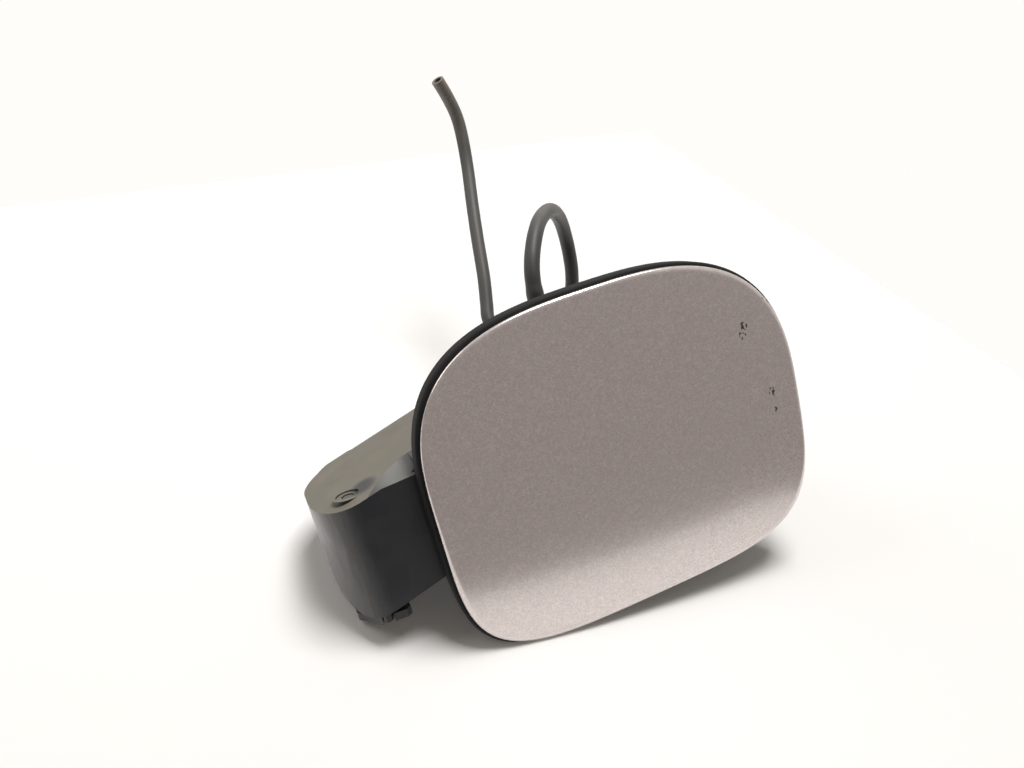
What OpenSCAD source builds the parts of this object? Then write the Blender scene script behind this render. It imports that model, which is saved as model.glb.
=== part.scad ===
// Fuel filler flap with its housing, swan-neck hinge and drain hose.
// The origin is the centre of the mouth in the front face of the housing's flange.
// +X points away from the hinge, +Y into the bowl, and +Z to the side with the drain.
// The car holds it turned half a turn about Y, so that the drain is at the bottom.

/* [Flap] */
// Width of the flap
flap_w = 170; // [150:1:190]
// Height of the flap
flap_h = 138; // [125:1:155]
// Squareness of the corner on the drain side next to the hinge, 2 is an ellipse
drain_hinge_square = 2.95; // [2.4:0.05:4.5]
// Squareness of the corner on the drain side away from the hinge
drain_free_square = 2.75; // [2.4:0.05:4.5]
// Squareness of the corner on the other side next to the hinge
far_hinge_square = 4.4; // [2.4:0.05:5]
// Squareness of the corner on the other side away from the hinge
far_free_square = 4.15; // [2.4:0.05:5]
// Fall of the skin from its middle to its left and right edges
crown_x = 2; // [1:0.25:3]
// Fall of the skin from its middle to its upper and lower edges
crown_z = 3; // [2:0.25:4.5]
// Distance from the flange's face to the middle of the skin
flap_stand = 12; // [11.5:0.25:14]
// Thickness of the painted skin
skin_t = 0.8; // [0.6:0.05:1]
// Width of the hem that folds round the inner panel
hem_w = 7; // [5:0.25:7.5]
// Thickness of the inner panel
panel_t = 0.8; // [0.6:0.05:1]
// Distance from the middle of the skin to the back of the inner panel
panel_depth = 7; // [6.5:0.25:7.5]
// Width of the inner panel's sloping border
panel_slope_w = 4; // [3:0.25:5]

/* [Rim seal] */
// How far the seal stands out beyond the flap
seal_over = 1.5; // [0.5:0.25:2]
// Width of the seal
seal_w = 8; // [7:0.25:8.5]
// Gap between the seal and the closed flap
seal_gap = 0.4; // [0.3:0.05:1]

/* [Housing] */
// Wall thickness of the moulding
wall = 2.2; // [1.8:0.1:3]
// How far the flange stays inside the flap's outline
flange_in = 0.5; // [0.5:0.25:2]
// Distance from the flap's edge to the mouth at the left and right
mouth_in_x = 8; // [8:0.25:10]
// Distance from the flap's edge to the mouth at the top and bottom
mouth_in_z = 16; // [15:0.25:18]
// Squareness of the bowl's corners
bowl_square = 2.4; // [2.3:0.05:2.6]
// Depth of the bowl from the flange's face to its outer back
bowl_depth = 60; // [56:1:66]
// How far the bowl narrows on each side towards its back
bowl_draft_x = 17; // [12:0.5:20]
// How far the bowl's upper and lower walls close in towards its back
bowl_draft_z = 16; // [12:0.5:17]
// Radius of the holes for the fixing screws
fix_hole_r = 2.3; // [2:0.1:2.6]
// Distance between the fixing screws from left to right
fix_span_x = 60; // [40:1:70]
// Distance from the flap's edge to the fixing screws
fix_in_z = 11.5; // [11:0.25:12]
// Thickness of the stiffening ribs
rib_t = 1.8; // [1.4:0.1:2.4]
// Depth of the stiffening ribs behind the flange
rib_depth = 22; // [14:1:30]

/* [Filler neck] */
// Radius of the opening in the rubber collar
neck_r = 27; // [25:0.5:28]
// Distance of the neck from the middle, away from the hinge
neck_x = 4; // [0:0.5:8]
// Radial depth of the collar where it grips the housing
collar_w = 6.5; // [5.5:0.25:7.5]
// Length of the collar's sleeve behind the housing
collar_len = 9; // [6:0.5:11]

/* [Hinge] */
// Distance from the flap's edge to the hinge pin
pin_out = 27; // [25:0.5:30]
// Depth of the hinge pin behind the flange's face
pin_depth = 13.5; // [12.5:0.25:15]
// Diameter of the hinge pin
pin_d = 5; // [4:0.25:5.5]
// Height of the middle of the hinge above the flap's middle
hinge_mid = -9; // [-14:0.5:-6]
// Thickness of the swan-neck arm
arm_t = 6; // [5:0.25:7]
// Width of the swan-neck arm
arm_w = 26; // [20:0.5:28]
// Length of the arm's barrel on the pin
barrel_len = 36; // [34:0.5:37]
// Radius of the arm's barrel
barrel_r = 7.5; // [7:0.25:8.5]
// Outer radius of the bushes in the barrel
bush_r = 4; // [3.75:0.05:4.5]
// Length of each bush inside the barrel
bush_len = 9; // [6:0.5:12]
// Length of the arm's foot on the inner panel
foot_len = 36; // [32:1:40]
// Thickness of the arm's foot
foot_t = 3; // [2.5:0.25:4]
// Thickness of the leaf spring
spring_t = 0.6; // [0.4:0.05:0.8]
// Width of the leaf spring
spring_w = 14; // [10:0.5:16]

/* [Hinge pocket] */
// Distance from the pin to the outer end of the pocket
nose_out = 15; // [15:0.25:18]
// Radius of the pocket's rear outer corner, and reach of its front one along X
nose_r = 19; // [17:0.5:21]
// Reach of the pocket's front outer corner along Y, where it is a quarter of an ellipse
nose_front = 33; // [28:1:36]
// Height that the pocket has beyond the arm's barrel
pocket_h = 12; // [11:0.5:18]
// Rise of the pocket's upper and lower walls for each millimetre towards the bowl
pocket_rise = 0.25; // [0.15:0.01:0.27]
// Radius of the boss round the pin's upper end
boss_r = 6.2; // [5.5:0.1:7]
// Thickness of the foot that closes the pin's lower end
retainer_t = 3.5; // [3:0.25:4.5]
// How far the pocket's outer end is rounded at its lower edge, along X
nose_round_x = 12; // [8:0.5:13]
// How far the pocket's outer end is rounded at its lower edge, along Z
nose_round_z = 17; // [8:0.5:18]
// Height of the sloped back of the pocket's lower wall over its front, below the pin
heel_rise = 14; // [10:0.5:14.5]
// Slope of that back towards the bowl's depth, in degrees
heel_slope = 27; // [20:1:28]
// Slope of that back towards the hinge's side, in degrees
heel_lean = 11; // [6:1:14]

/* [Lock and rests] */
// Depth of the lock bolt behind the flange's face
bolt_depth = 12; // [11.5:0.25:14]
// Radius of the lock bolt's way through its grommet
bolt_r = 4; // [3.5:0.1:4.2]
// Radius of the hole in the housing that holds the grommet
grommet_seat_r = 6; // [5.6:0.1:6.5]
// Distance from the grommet's boss to the catch on the flap
catch_gap = 6; // [4:0.5:8]
// Distance of the rubber rests from the middle, towards the lock
rest_x = 57; // [54:0.5:58]
// Distance from the seal's inner edge to the rubber rest on the drain side
rest_z_up = 4.2; // [4:0.1:6]
// Distance from the seal's inner edge to the rubber rest on the other side
rest_z_down = 7; // [4.5:0.5:9]
// Radius of the rubber rests
rest_r = 3.5; // [3.2:0.1:3.7]

/* [Drain hose] */
// Outer diameter of the drain hose
hose_d = 7; // [6:0.25:7.5]

/* [Clearances] */
// Gap between the sheet of the inner panel and the hem
hem_clear = 0.05; // [0.03:0.01:0.1]
// Radial gap of a piece that is pressed into another
press_clear = 0.02; // [0.01:0.01:0.04]
// Radial gap of the bushes on the pin
run_clear = 0.05; // [0.02:0.01:0.1]
// Gap between pieces that pass each other
pass_clear = 0.65; // [0.5:0.05:1]
// Gap between pieces that lie on each other
seat_clear = 0.1; // [0.05:0.05:0.2]

/* [Hidden] */

$fn = 64;

// Points round the flap's outline and round the bowl's
rim_n = 120;
bowl_n = 60;

half_w = flap_w / 2;
half_h = flap_h / 2;
edge_t = 2 * skin_t + panel_t + 2 * hem_clear;
roll_r = edge_t / 2;
panel_y = panel_depth - flap_stand;
seal_in = seal_w - seal_over;

// Hinge pin and swan neck: the arm passes the seal's inner edge with pass_clear to spare
pin_at = [-half_w - pin_out, pin_depth];
seal_corner = [pin_out + seal_in, pin_depth + flap_stand - crown_x - edge_t - seal_gap];
arm_in = norm(seal_corner) + pass_clear;
arm_out = arm_in + arm_t;
arm_mid = arm_in + arm_t / 2;
arm_end = 10;
leg_x = pin_at[0] + arm_mid * cos(arm_end);
barrel_top = hinge_mid + barrel_len / 2;
barrel_bottom = hinge_mid - barrel_len / 2;
arm_z = barrel_top - arm_w / 2;
bush_flange_t = 1;
thrust_gap = 0.2;

// Hinge pocket
nose_x = pin_at[0] - nose_out;
pocket_back = pin_depth + arm_out + 3 * pass_clear + wall;
pocket_top = barrel_top + pocket_h / 2;
pocket_bottom = barrel_bottom - pocket_h / 2;
pocket_right = 40 - half_w;
facet_fall = 0.195;
boss_top = pocket_top + 0.8;
foot_pad_r = 8;
foot_pad_z = pocket_bottom - 2.2;
retainer_z = foot_pad_z - seat_clear;
nub_at = [-0.5, -8];
nub_r = 2;
nub_len = 2.4;

// Bowl
mouth_w = half_w - mouth_in_x;
mouth_h = half_h - mouth_in_z;
back_w = mouth_w - bowl_draft_x;
back_h = mouth_h - bowl_draft_z;

// Lock
boss_in_x = mouth_w - 6;
boss_out_x = mouth_w + 3;
lock_boss_r = grommet_seat_r + 3.2;
catch_x = boss_in_x - catch_gap;
catch_t = 2.5;
catch_w = 18;
catch_base = [8, 2, 36];
catch_tip = 7;
catch_corner = 4;
web_t = 2;

// Rubber rests: their height on each side follows the seal's inner edge
rest_pin_r = 2.5;
rest_up = seal_edge_z(rest_x, drain_free_square) - rest_z_up;
rest_down = seal_edge_z(rest_x, far_free_square) - rest_z_down;

// Filler neck
neck_hole_r = neck_r + collar_w - 1.5;

// Fixing screws
fix_z = half_h - fix_in_z;

// Arm screws in the foot
screw_r = 1.9;
screw_at = [[12, 8], [12, -8], [29, 0]];
nut_t = 2.4;
rivet_r = 1.6;
rivet_z = 12;
rivet_in = 4;

// Dabs between the inner panel and the skin
pad_r = 6;
pad_x = 38;
pad_z = 22;

// Cap holder on the inner panel
holder_in = 36;
holder_at = [6, half_h - holder_in];
holder_w = 16;
holder_base = [36, 2, 12];
holder_clip_x = 12;
clip_r = 2;

// Drain spout and hose route, from the spout to the cut end
spout_at = [-10, 28];
spout_shoulder = mouth_h + 4;
spout_len = 8;
hose_sides = 8;
hose_steps = 2;
hose_swell = 0.35;
swell_rings = 5;
route = [
  [-10, 28, 57.1], [-10, 28, 63], [-9.5, 28.5, 69], [-8, 30, 75.5], [-4.5, 33.5, 82.5], [1.5, 40, 89.5],
  [8.5, 48, 94], [16.5, 57, 95.5], [24, 68, 93], [30.5, 79, 87], [34.5, 87, 78], [36, 91, 68],
  [35.5, 92.5, 58], [33, 93.5, 48.5], [27, 94, 40.5], [18, 94.5, 35], [8, 95.5, 33], [-2, 97.5, 34],
  [-9, 102, 39.5], [-10, 106.5, 46.5], [-7.5, 111, 53.5], [-3, 118.5, 66], [3, 131.5, 84.5],
  [9.5, 145, 103], [15.5, 156, 121], [18.5, 161, 137.5], [18.5, 161, 149.5], [15.5, 158, 160],
  [11, 154, 170]
];

// Distance from the middle to a rounded outline in the direction a
function outline_r(a, w, h, n) = pow(pow(abs(cos(a)) / w, n) + pow(abs(sin(a)) / h, n), -1 / n);

function corner_square(a) =
  sin(a) >= 0 ? (cos(a) >= 0 ? drain_free_square : drain_hinge_square)
              : (cos(a) >= 0 ? far_free_square : far_hinge_square);

function flap_r(a, inset) = outline_r(a, half_w - inset, half_h - inset, corner_square(a));

// Height of the seal's inner edge over a place on the flap's free side
function seal_edge_z(x, n) = (half_h - seal_in) * pow(1 - pow(x / (half_w - seal_in), n), 1 / n);

function flap_outline(inset) =
  [for (i = [0:rim_n - 1]) let (a = i * 360 / rim_n, r = flap_r(a, inset)) [r * cos(a), r * sin(a)]];

function bowl_outline(w, h) =
  [for (i = [0:bowl_n - 1])
     let (a = i * 360 / bowl_n, r = outline_r(a, w, h, bowl_square)) [r * cos(a), r * sin(a)]];

function crown(p) = crown_x * pow(p[0] / half_w, 2) + crown_z * pow(p[1] / half_h, 2);

// A ring that follows the crown, behind the skin's outer face by lift
function crown_ring(inset, lift, share = 1) =
  [for (q = flap_outline(inset)) let (p = q * share) [p[0], crown(p) + lift - flap_stand, p[1]]];

// A ring in one plane
function flat_ring(inset, y, share = 1) =
  [for (q = flap_outline(inset)) [q[0] * share, y, q[1] * share]];

function pocket_z(x, at_pin) = at_pin + pocket_rise * (x - pin_at[0]);

// A point of the smooth curve through four route points
function curve_point(a, b, c, d, t) =
  0.5 * (2 * b + (c - a) * t + (2 * a - 5 * b + 4 * c - d) * t * t + (3 * b - a - 3 * c + d) * t * t * t);

function hose_line() =
  let (last = len(route) - 1)
  concat(
    [for (i = [0:last - 1]) for (k = [0:hose_steps - 1])
       curve_point(route[max(i - 1, 0)], route[i], route[i + 1], route[min(i + 2, last)], k / hose_steps)],
    [route[last]]);

function unit(v) = v / norm(v);

// Side direction of each ring, carried along the line so that the tube doesn't twist
function hose_sides_of(line, i, side) =
  i >= len(line) ? [] :
  let (t = unit(line[min(i + 1, len(line) - 1)] - line[max(i - 1, 0)]), s = unit(side - (side * t) * t))
  concat([[s, cross(t, s)]], hose_sides_of(line, i + 1, s));

// Closed body from rings of equal length, with a point at each end
module disc_body(rings, first, last) {
  n = len(rings[0]);
  m = len(rings);
  points = concat([first], [for (ring = rings) each ring], [last]);
  sides = [for (k = [0:m - 2]) for (i = [0:n - 1])
             let (j = (i + 1) % n, a = 1 + k * n)
             each [[a + i, a + j, a + n + j], [a + i, a + n + j, a + n + i]]];
  ends = [for (i = [0:n - 1]) let (j = (i + 1) % n, b = 1 + (m - 1) * n)
            each [[0, 1 + j, 1 + i], [b + i, b + j, m * n + 1]]];
  polyhedron(points, concat(sides, ends));
}

// Closed ring-shaped body from rings of equal length
module loop_body(rings) {
  n = len(rings[0]);
  m = len(rings);
  polyhedron(
    [for (ring = rings) each ring],
    [for (k = [0:m - 1]) for (i = [0:n - 1])
       let (j = (i + 1) % n, a = k * n, b = ((k + 1) % m) * n)
       each [[a + i, a + j, b + j], [a + i, b + j, b + i]]]);
}

// Extrudes a drawing in X and Z from one depth to another
module through_y(y0, y1) {
  translate([0, y1, 0]) rotate([90, 0, 0]) linear_extrude(y1 - y0) children();
}

// A round solid along X from one place to another
module along_x(x0, x1, r) {
  translate([x0, 0, 0]) rotate([0, 90, 0]) cylinder(h = x1 - x0, r = r);
}

// A round solid along Y from one depth to another
module along_y(y0, y1, r) {
  translate([0, y0, 0]) rotate([-90, 0, 0]) cylinder(h = y1 - y0, r = r);
}

// Plan of the hinge pocket, smaller all round by inset
module pocket_plan(inset, right) {
  r = nose_r - inset;
  cx = nose_x + nose_r;
  translate([cx, pocket_back - nose_r]) circle(r);
  translate([cx, nose_front]) scale([r, nose_front - inset]) circle(1);
  translate([nose_x + inset, nose_front]) square([r, pocket_back - nose_r - nose_front]);
  translate([cx, inset]) square([right - cx, pocket_back - 2 * inset]);
}

// Hinge pocket between its two sloping walls
module pocket_form(inset, right) {
  difference() {
    intersection() {
      translate([0, 0, -half_h]) linear_extrude(flap_h) pocket_plan(inset, right);
      through_y(-1, pocket_back + 1) polygon(concat(
        [for (a = [0:10:90])
           let (x = nose_x + nose_round_x - (nose_round_x - inset) * cos(a))
           [x, pocket_z(x, pocket_bottom) + nose_round_z - (nose_round_z - inset) * sin(a)]],
        [[right, pocket_z(right, pocket_bottom + inset)],
         [right, pocket_z(right, pocket_top - inset)],
         [nose_x + inset, pocket_z(nose_x + inset, pocket_top - inset)]]));
    }
    translate([pin_at[0], pocket_back, pocket_bottom + heel_rise]) rotate([heel_slope, heel_lean, 0])
      translate([-flap_w, -flap_w, -flap_w]) cube([2 * flap_w, 2 * flap_w, flap_w + inset]);
  }
}

// Shallow slope cut into the front edge of the pocket's upper wall
module pocket_facet() {
  x0 = nose_x + 26;
  x1 = 1.3 - half_w;
  back = 18;
  drop = facet_fall * (x1 - x0);
  lift = 12;
  low = [[x0, -1, pocket_z(x0, pocket_top)], [x1, -1, pocket_z(x1, pocket_top) - drop],
         [x1, back, pocket_z(x1, pocket_top)], [x0, back, pocket_z(x0, pocket_top)]];
  polyhedron(
    concat(low, [for (p = low) p + [0, 0, lift]]),
    [[0, 1, 2], [0, 2, 3], [4, 7, 6], [4, 6, 5], [0, 4, 5, 1], [1, 5, 6, 2], [2, 6, 7, 3], [3, 7, 4, 0]]);
}

// Bowl between its mouth and its back
module bowl_form(grow, y0, y1) {
  hull() {
    through_y(y0, y0 + 0.01) polygon(bowl_outline(mouth_w + grow, mouth_h + grow));
    through_y(y1 - 0.01, y1) polygon(bowl_outline(back_w + grow, back_h + grow));
  }
}

// Triangular rib between the flange and the bowl
module flange_rib(a) {
  reach = outline_r(a, mouth_w + wall, mouth_h + wall, bowl_square);
  out = flap_r(a, flange_in + 2);
  rotate([0, -a, 0]) translate([0, 0, -rib_t / 2]) linear_extrude(rib_t)
    polygon([[reach - 10, wall - 0.1], [out, wall - 0.1], [out, wall + 1.5], [reach - 10, rib_depth]]);
}

// Moves along the pin to a height
module at_pin(z) {
  translate([pin_at[0], pin_at[1], z]) children();
}

// Boss on the bowl's free side that holds the lock bolt's grommet
module lock_boss() {
  translate([0, bolt_depth, 0]) along_x(boss_in_x, boss_out_x, lock_boss_r);
}

module housing() {
  color([0.16, 0.16, 0.17]) difference() {
    union() {
      through_y(0, wall) polygon(flap_outline(flange_in));
      bowl_form(wall, wall / 2, bowl_depth);
      pocket_form(0, pocket_right + wall);
      at_pin(pocket_top - 2) cylinder(h = boss_top - pocket_top + 2, r = boss_r);
      at_pin(foot_pad_z) cylinder(h = pocket_bottom + 2 - foot_pad_z, r = foot_pad_r);
      at_pin(foot_pad_z - nub_len) translate(nub_at)
        cylinder(h = pocket_bottom + 1 - foot_pad_z + nub_len, r = nub_r);
      lock_boss();
      translate([mouth_w - 1, wall - 0.1, -lock_boss_r])
        cube([boss_out_x - mouth_w + 1, bolt_depth - wall + 0.1, 2 * lock_boss_r]);
      for (a = [28, 52, 74, 106, 128, 232, 254, 286, 308, 332]) flange_rib(a);
      translate([spout_at[0], spout_at[1], spout_shoulder - 13]) cylinder(h = 13, r1 = 7, r2 = 4.6);
      translate([spout_at[0], spout_at[1], spout_shoulder - 1]) cylinder(h = spout_len + 1, r = 2.6);
    }
    difference() {
      bowl_form(0, -0.1, bowl_depth - wall);
      lock_boss();
    }
    difference() {
      pocket_form(wall, pocket_right);
      at_pin(barrel_top + bush_flange_t + thrust_gap) cylinder(h = pocket_h, r = boss_r + 0.8);
      at_pin(barrel_bottom - bush_flange_t - thrust_gap - pocket_h)
        cylinder(h = pocket_h, r = boss_r + 0.8);
      spring_anchor();
    }
    pocket_facet();
    at_pin(-flap_h) cylinder(h = 2 * flap_h, r = pin_d / 2 + press_clear);
    at_pin(boss_top - 0.6) cylinder(h = 2, r = boss_r - 1.4);
    translate([0, bolt_depth, 0]) along_x(boss_in_x - 1, boss_out_x + 1, grommet_seat_r + press_clear);
    translate([neck_x, 0, 0]) along_y(bowl_depth - wall - 1, bowl_depth + 1, neck_hole_r + press_clear);
    for (x = [-1, 1], z = [-1, 1])
      translate([x * fix_span_x / 2, 0, z * fix_z]) along_y(-1, wall + rib_depth, fix_hole_r);
    for (z = [rest_up, -rest_down])
      translate([rest_x, 0, z]) along_y(-1, wall + rib_depth, rest_pin_r + press_clear);
    translate([spout_at[0], spout_at[1], spout_shoulder - 20]) cylinder(h = 40, r = 1.7);
  }
}

// Moulded post in the pocket with a slot for the leaf spring
module spring_anchor() {
  difference() {
    translate([nose_x + wall - 1, pocket_back - nose_r - 6, arm_z - spring_w / 2 - 3])
      cube([5, 7, spring_w + 6]);
    spring_strip(seat_clear);
  }
}

// Curved strip that starts in the post and lies along the arm's barrel
module spring_strip(grow) {
  bow_r = 110;
  lead = 2;
  x = pin_at[0] - barrel_r - 0.5 - bow_r - spring_t;
  y = pin_depth + 2.5;
  translate([x, y, arm_z - spring_w / 2 - grow]) linear_extrude(spring_w + 2 * grow)
    intersection() {
      difference() {
        circle(bow_r + spring_t + grow, $fn = 96);
        circle(bow_r - grow, $fn = 96);
      }
      translate([bow_r / 2, -lead]) square([bow_r, lead + pocket_back - nose_r - y + grow]);
    }
}

module hold_spring() {
  color([0.62, 0.63, 0.65]) spring_strip(0);
}

module rim_seal() {
  front = edge_t + seal_gap;
  color([0.09, 0.09, 0.1]) loop_body([
    crown_ring(-seal_over + 0.6, front),
    crown_ring(seal_in - 1.5, front),
    crown_ring(seal_in, front + 1.2),
    flat_ring(seal_in, 0 - seat_clear),
    flat_ring(-seal_over, 0 - seat_clear),
    crown_ring(-seal_over, front + 0.6)
  ]);
}

module neck_collar() {
  grip = wall + 2 * seat_clear;
  inner = bowl_depth - wall - seat_clear;
  color([0.1, 0.1, 0.11]) translate([neck_x, 0, 0]) rotate([-90, 0, 0]) rotate_extrude() polygon([
    [neck_r, inner - 3],
    [neck_hole_r - 2, inner - 3],
    [neck_hole_r + 2.5, inner - 1.2],
    [neck_hole_r + 2.5, inner],
    [neck_hole_r - seat_clear, inner],
    [neck_hole_r - seat_clear, inner + grip],
    [neck_hole_r + 2.5, inner + grip],
    [neck_hole_r + 2.5, inner + grip + 1.5],
    [neck_r + 2.5, inner + grip + 2.5],
    [neck_r + 2.5, inner + grip + collar_len],
    [neck_r, inner + grip + collar_len]
  ]);
}

module bolt_grommet() {
  color([0.12, 0.12, 0.13]) translate([0, bolt_depth, 0]) rotate([0, 90, 0]) rotate_extrude() polygon([
    [bolt_r, boss_in_x - 1.6],
    [grommet_seat_r + 1.6, boss_in_x - 1.6],
    [grommet_seat_r + 1.6, boss_in_x - seat_clear],
    [grommet_seat_r, boss_in_x - seat_clear],
    [grommet_seat_r, boss_out_x + seat_clear],
    [grommet_seat_r + 1.6, boss_out_x + seat_clear],
    [grommet_seat_r + 0.6, boss_out_x + 2],
    [bolt_r, boss_out_x + 2]
  ]);
}

// Two rubber rests that stop the flap's free side
module rest_buffers() {
  tip = panel_y + 0.3;
  tail = wall + 1.6 * rest_pin_r;
  color([0.1, 0.1, 0.1]) for (z = [rest_up, -rest_down])
    translate([rest_x, 0, z]) rotate([-90, 0, 0]) rotate_extrude() polygon([
      [0, tip], [rest_r - 1.3, tip], [rest_r - 0.4, tip + 0.9], [rest_r, -seat_clear],
      [rest_pin_r, -seat_clear], [rest_pin_r, tail - 1.6], [rest_pin_r - 0.8, tail], [0, tail]
    ]);
}

module hinge_pin() {
  top = boss_top - 0.9;
  bottom = retainer_z - retainer_t + 1.6;
  color([0.7, 0.71, 0.73]) at_pin(0) rotate_extrude() polygon([
    [0, bottom], [pin_d / 2 - 0.6, bottom], [pin_d / 2, bottom + 0.6], [pin_d / 2, top - 0.4],
    [pin_d / 2 - 0.4, top], [0, top]
  ]);
}

// Foot that is pushed on the lower end of the pin, with a wing on each side
module pin_retainer() {
  color([0.07, 0.07, 0.08]) at_pin(retainer_z - retainer_t) difference() {
    linear_extrude(retainer_t) difference() {
      polygon([[-11, 4], [-10, 2.5], [-3, -8.5], [7.5, -9.5], [9.5, -7.5], [9.5, 6], [6, 9.5],
               [-8, 10.5], [-11, 8]]);
      translate(nub_at) circle(nub_r + 0.4);
      translate([nub_at[0] - nub_r - 0.4, nub_at[1] - 5]) square([2 * nub_r + 0.8, 5]);
    }
    translate([0, 0, 1.4]) cylinder(h = retainer_t, r = pin_d / 2 + press_clear);
  }
}

module drain_hose() {
  line = hose_line();
  frames = hose_sides_of(line, 0, [1, 0, 0]);
  n = len(line);
  rings = [for (i = [0:n - 1])
             let (r = hose_d / 2 + (i < swell_rings ? hose_swell : 0))
             [for (k = [0:hose_sides - 1])
                let (a = k * 360 / hose_sides)
                line[i] + r * (cos(a) * frames[i][0] + sin(a) * frames[i][1])]];
  color([0.2, 0.2, 0.2]) disc_body([for (i = [n - 1:-1:0]) rings[i]], line[n - 1], line[0]);
}

module flap_skin() {
  r = roll_r;
  s = sqrt(0.5);
  out = skin_t;
  inner = r - skin_t;
  hem_back = edge_t - skin_t;
  shares = [0.25, 0.5, 0.72, 0.88];
  outer_face = [for (k = shares) crown_ring(0, 0, k)];
  inner_face = [for (k = [3:-1:0]) crown_ring(0, out, shares[k])];
  color([0.62, 0.59, 0.58]) disc_body(
    concat(
      outer_face,
      [crown_ring(4, 0), crown_ring(r, 0), crown_ring(r - r * s, r - r * s), crown_ring(0, r),
       crown_ring(r - r * s, r + r * s), crown_ring(r, edge_t), crown_ring(hem_w, edge_t),
       crown_ring(hem_w, hem_back), crown_ring(r, hem_back), crown_ring(r - inner, r),
       crown_ring(r, out), crown_ring(4, out)],
      inner_face),
    [0, -flap_stand, 0], [0, out - flap_stand, 0]);
}

module inner_panel() {
  front = skin_t + hem_clear;
  back = front + panel_t;
  edge = roll_r + 0.2;
  slope_in = hem_w + 1;
  flat_in = slope_in + panel_slope_w;
  color([0.55, 0.53, 0.52]) difference() {
    disc_body(
      [flat_ring(flat_in, panel_y - panel_t, 0.4), flat_ring(flat_in, panel_y - panel_t),
       crown_ring(slope_in, front), crown_ring(edge, front), crown_ring(edge, back),
       crown_ring(slope_in, back), flat_ring(flat_in, panel_y), flat_ring(flat_in, panel_y, 0.4)],
      [0, panel_y - panel_t, 0], [0, panel_y, 0]);
    for (p = screw_at)
      translate([leg_x + p[0], 0, arm_z + p[1]]) along_y(panel_y - 2, panel_y + 2, screw_r + press_clear);
    for (z = [-rivet_z, rivet_z])
      translate([catch_x - rivet_in, 0, z]) along_y(panel_y - 2, panel_y + 2, rivet_r + press_clear);
    for (x = [-holder_clip_x, holder_clip_x])
      translate([holder_at[0] + x, 0, holder_at[1]]) along_y(panel_y - 2, panel_y + 2, clip_r + press_clear);
  }
}

// Soft dabs between the inner panel and the skin
module panel_pads() {
  color([0.3, 0.3, 0.31]) for (x = [-pad_x, pad_x], z = [-pad_z, pad_z])
    along_pad(x, z, panel_y - panel_t - seat_clear, crown([x, z]) + skin_t - flap_stand + 3.4 * seat_clear);
}

// One dab, a little wider in its middle than at its two faces
module along_pad(x, z, back, front) {
  translate([x, 0, z]) rotate([-90, 0, 0]) rotate_extrude()
    polygon([[0, front], [pad_r - 1, front], [pad_r, (front + back) / 2], [pad_r - 1, back], [0, back]]);
}

// Weld nuts on the front of the inner panel for the arm's screws
module panel_nuts() {
  back = panel_y - panel_t - seat_clear;
  color([0.66, 0.66, 0.68]) for (p = screw_at)
    translate([leg_x + p[0], back, arm_z + p[1]]) rotate([90, 0, 0]) difference() {
      cylinder(h = nut_t, r = 4.2, $fn = 6);
      translate([0, 0, -1]) cylinder(h = nut_t + 2, r = screw_r + press_clear);
    }
}

// Part of a ring round the pin between two directions
module neck_arc(r0, r1, a0, a1) {
  reach = 2 * arm_out;
  intersection() {
    difference() {
      circle(r1);
      circle(r0);
    }
    polygon([[0, 0], reach * [cos(a0), sin(a0)], reach * [cos((a0 + a1) / 2), sin((a0 + a1) / 2)],
             reach * [cos(a1), sin(a1)]]);
  }
}

// Outline of the swan neck seen along the pin
module neck_plan() {
  translate(pin_at) {
    circle(barrel_r);
    translate([-arm_t / 2, 0]) square([arm_t, arm_in + 2]);
    neck_arc(arm_in, arm_out, -arm_end, 90);
    intersection() {
      circle(arm_out);
      translate([-arm_t / 2, arm_in - 4]) square([arm_t, arm_t + 4]);
    }
  }
  translate([leg_x - arm_t / 2, panel_y + seat_clear])
    square([arm_t, pin_depth - arm_mid * sin(arm_end) - panel_y]);
}

module hinge_arm() {
  web = 3;
  flange = 1.7;
  foot_y = panel_y + seat_clear;
  foot_x = leg_x - arm_t / 2;
  color([0.13, 0.13, 0.14]) difference() {
    union() {
      translate([0, 0, arm_z - arm_w / 2]) linear_extrude(arm_w) neck_plan();
      at_pin(barrel_bottom) cylinder(h = barrel_len, r = barrel_r);
      translate([foot_x, foot_y, arm_z - arm_w / 2]) cube([foot_len, foot_t, arm_w]);
      for (z = [-arm_w / 2, -1, arm_w / 2 - 2])
        translate([0, 0, arm_z + z]) linear_extrude(2)
          polygon([[leg_x, foot_y + foot_t - 1], [leg_x + arm_t / 2 + 7, foot_y + foot_t - 1],
                   [leg_x + arm_t / 2 + 7, foot_y + foot_t], [leg_x + arm_t / 2, foot_y + foot_t + 6],
                   [leg_x, foot_y + foot_t + 6]]);
    }
    for (side = [-1, 1]) at_pin(arm_z + side * (web / 2 + arm_w / 4) - arm_w / 4)
      linear_extrude(arm_w / 2) difference() {
        union() {
          neck_arc(arm_in + flange, arm_out - flange, -arm_end + 4, 85);
          translate([-arm_t / 2 + flange, barrel_r + 2]) square([arm_t - 2 * flange, arm_in - barrel_r - 4]);
        }
        for (a = [12:20:72]) rotate(a) translate([arm_in, -0.9]) square([arm_t, 1.8]);
        for (y = [18, 28]) translate([-arm_t / 2, y]) square([arm_t, 1.8]);
      }
    at_pin(barrel_bottom - 1) cylinder(h = barrel_len + 2, r = bush_r + press_clear);
    for (p = screw_at)
      translate([leg_x + p[0], 0, arm_z + p[1]])
        along_y(foot_y - 1, foot_y + foot_t + 1, screw_r + press_clear);
  }
}

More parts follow.
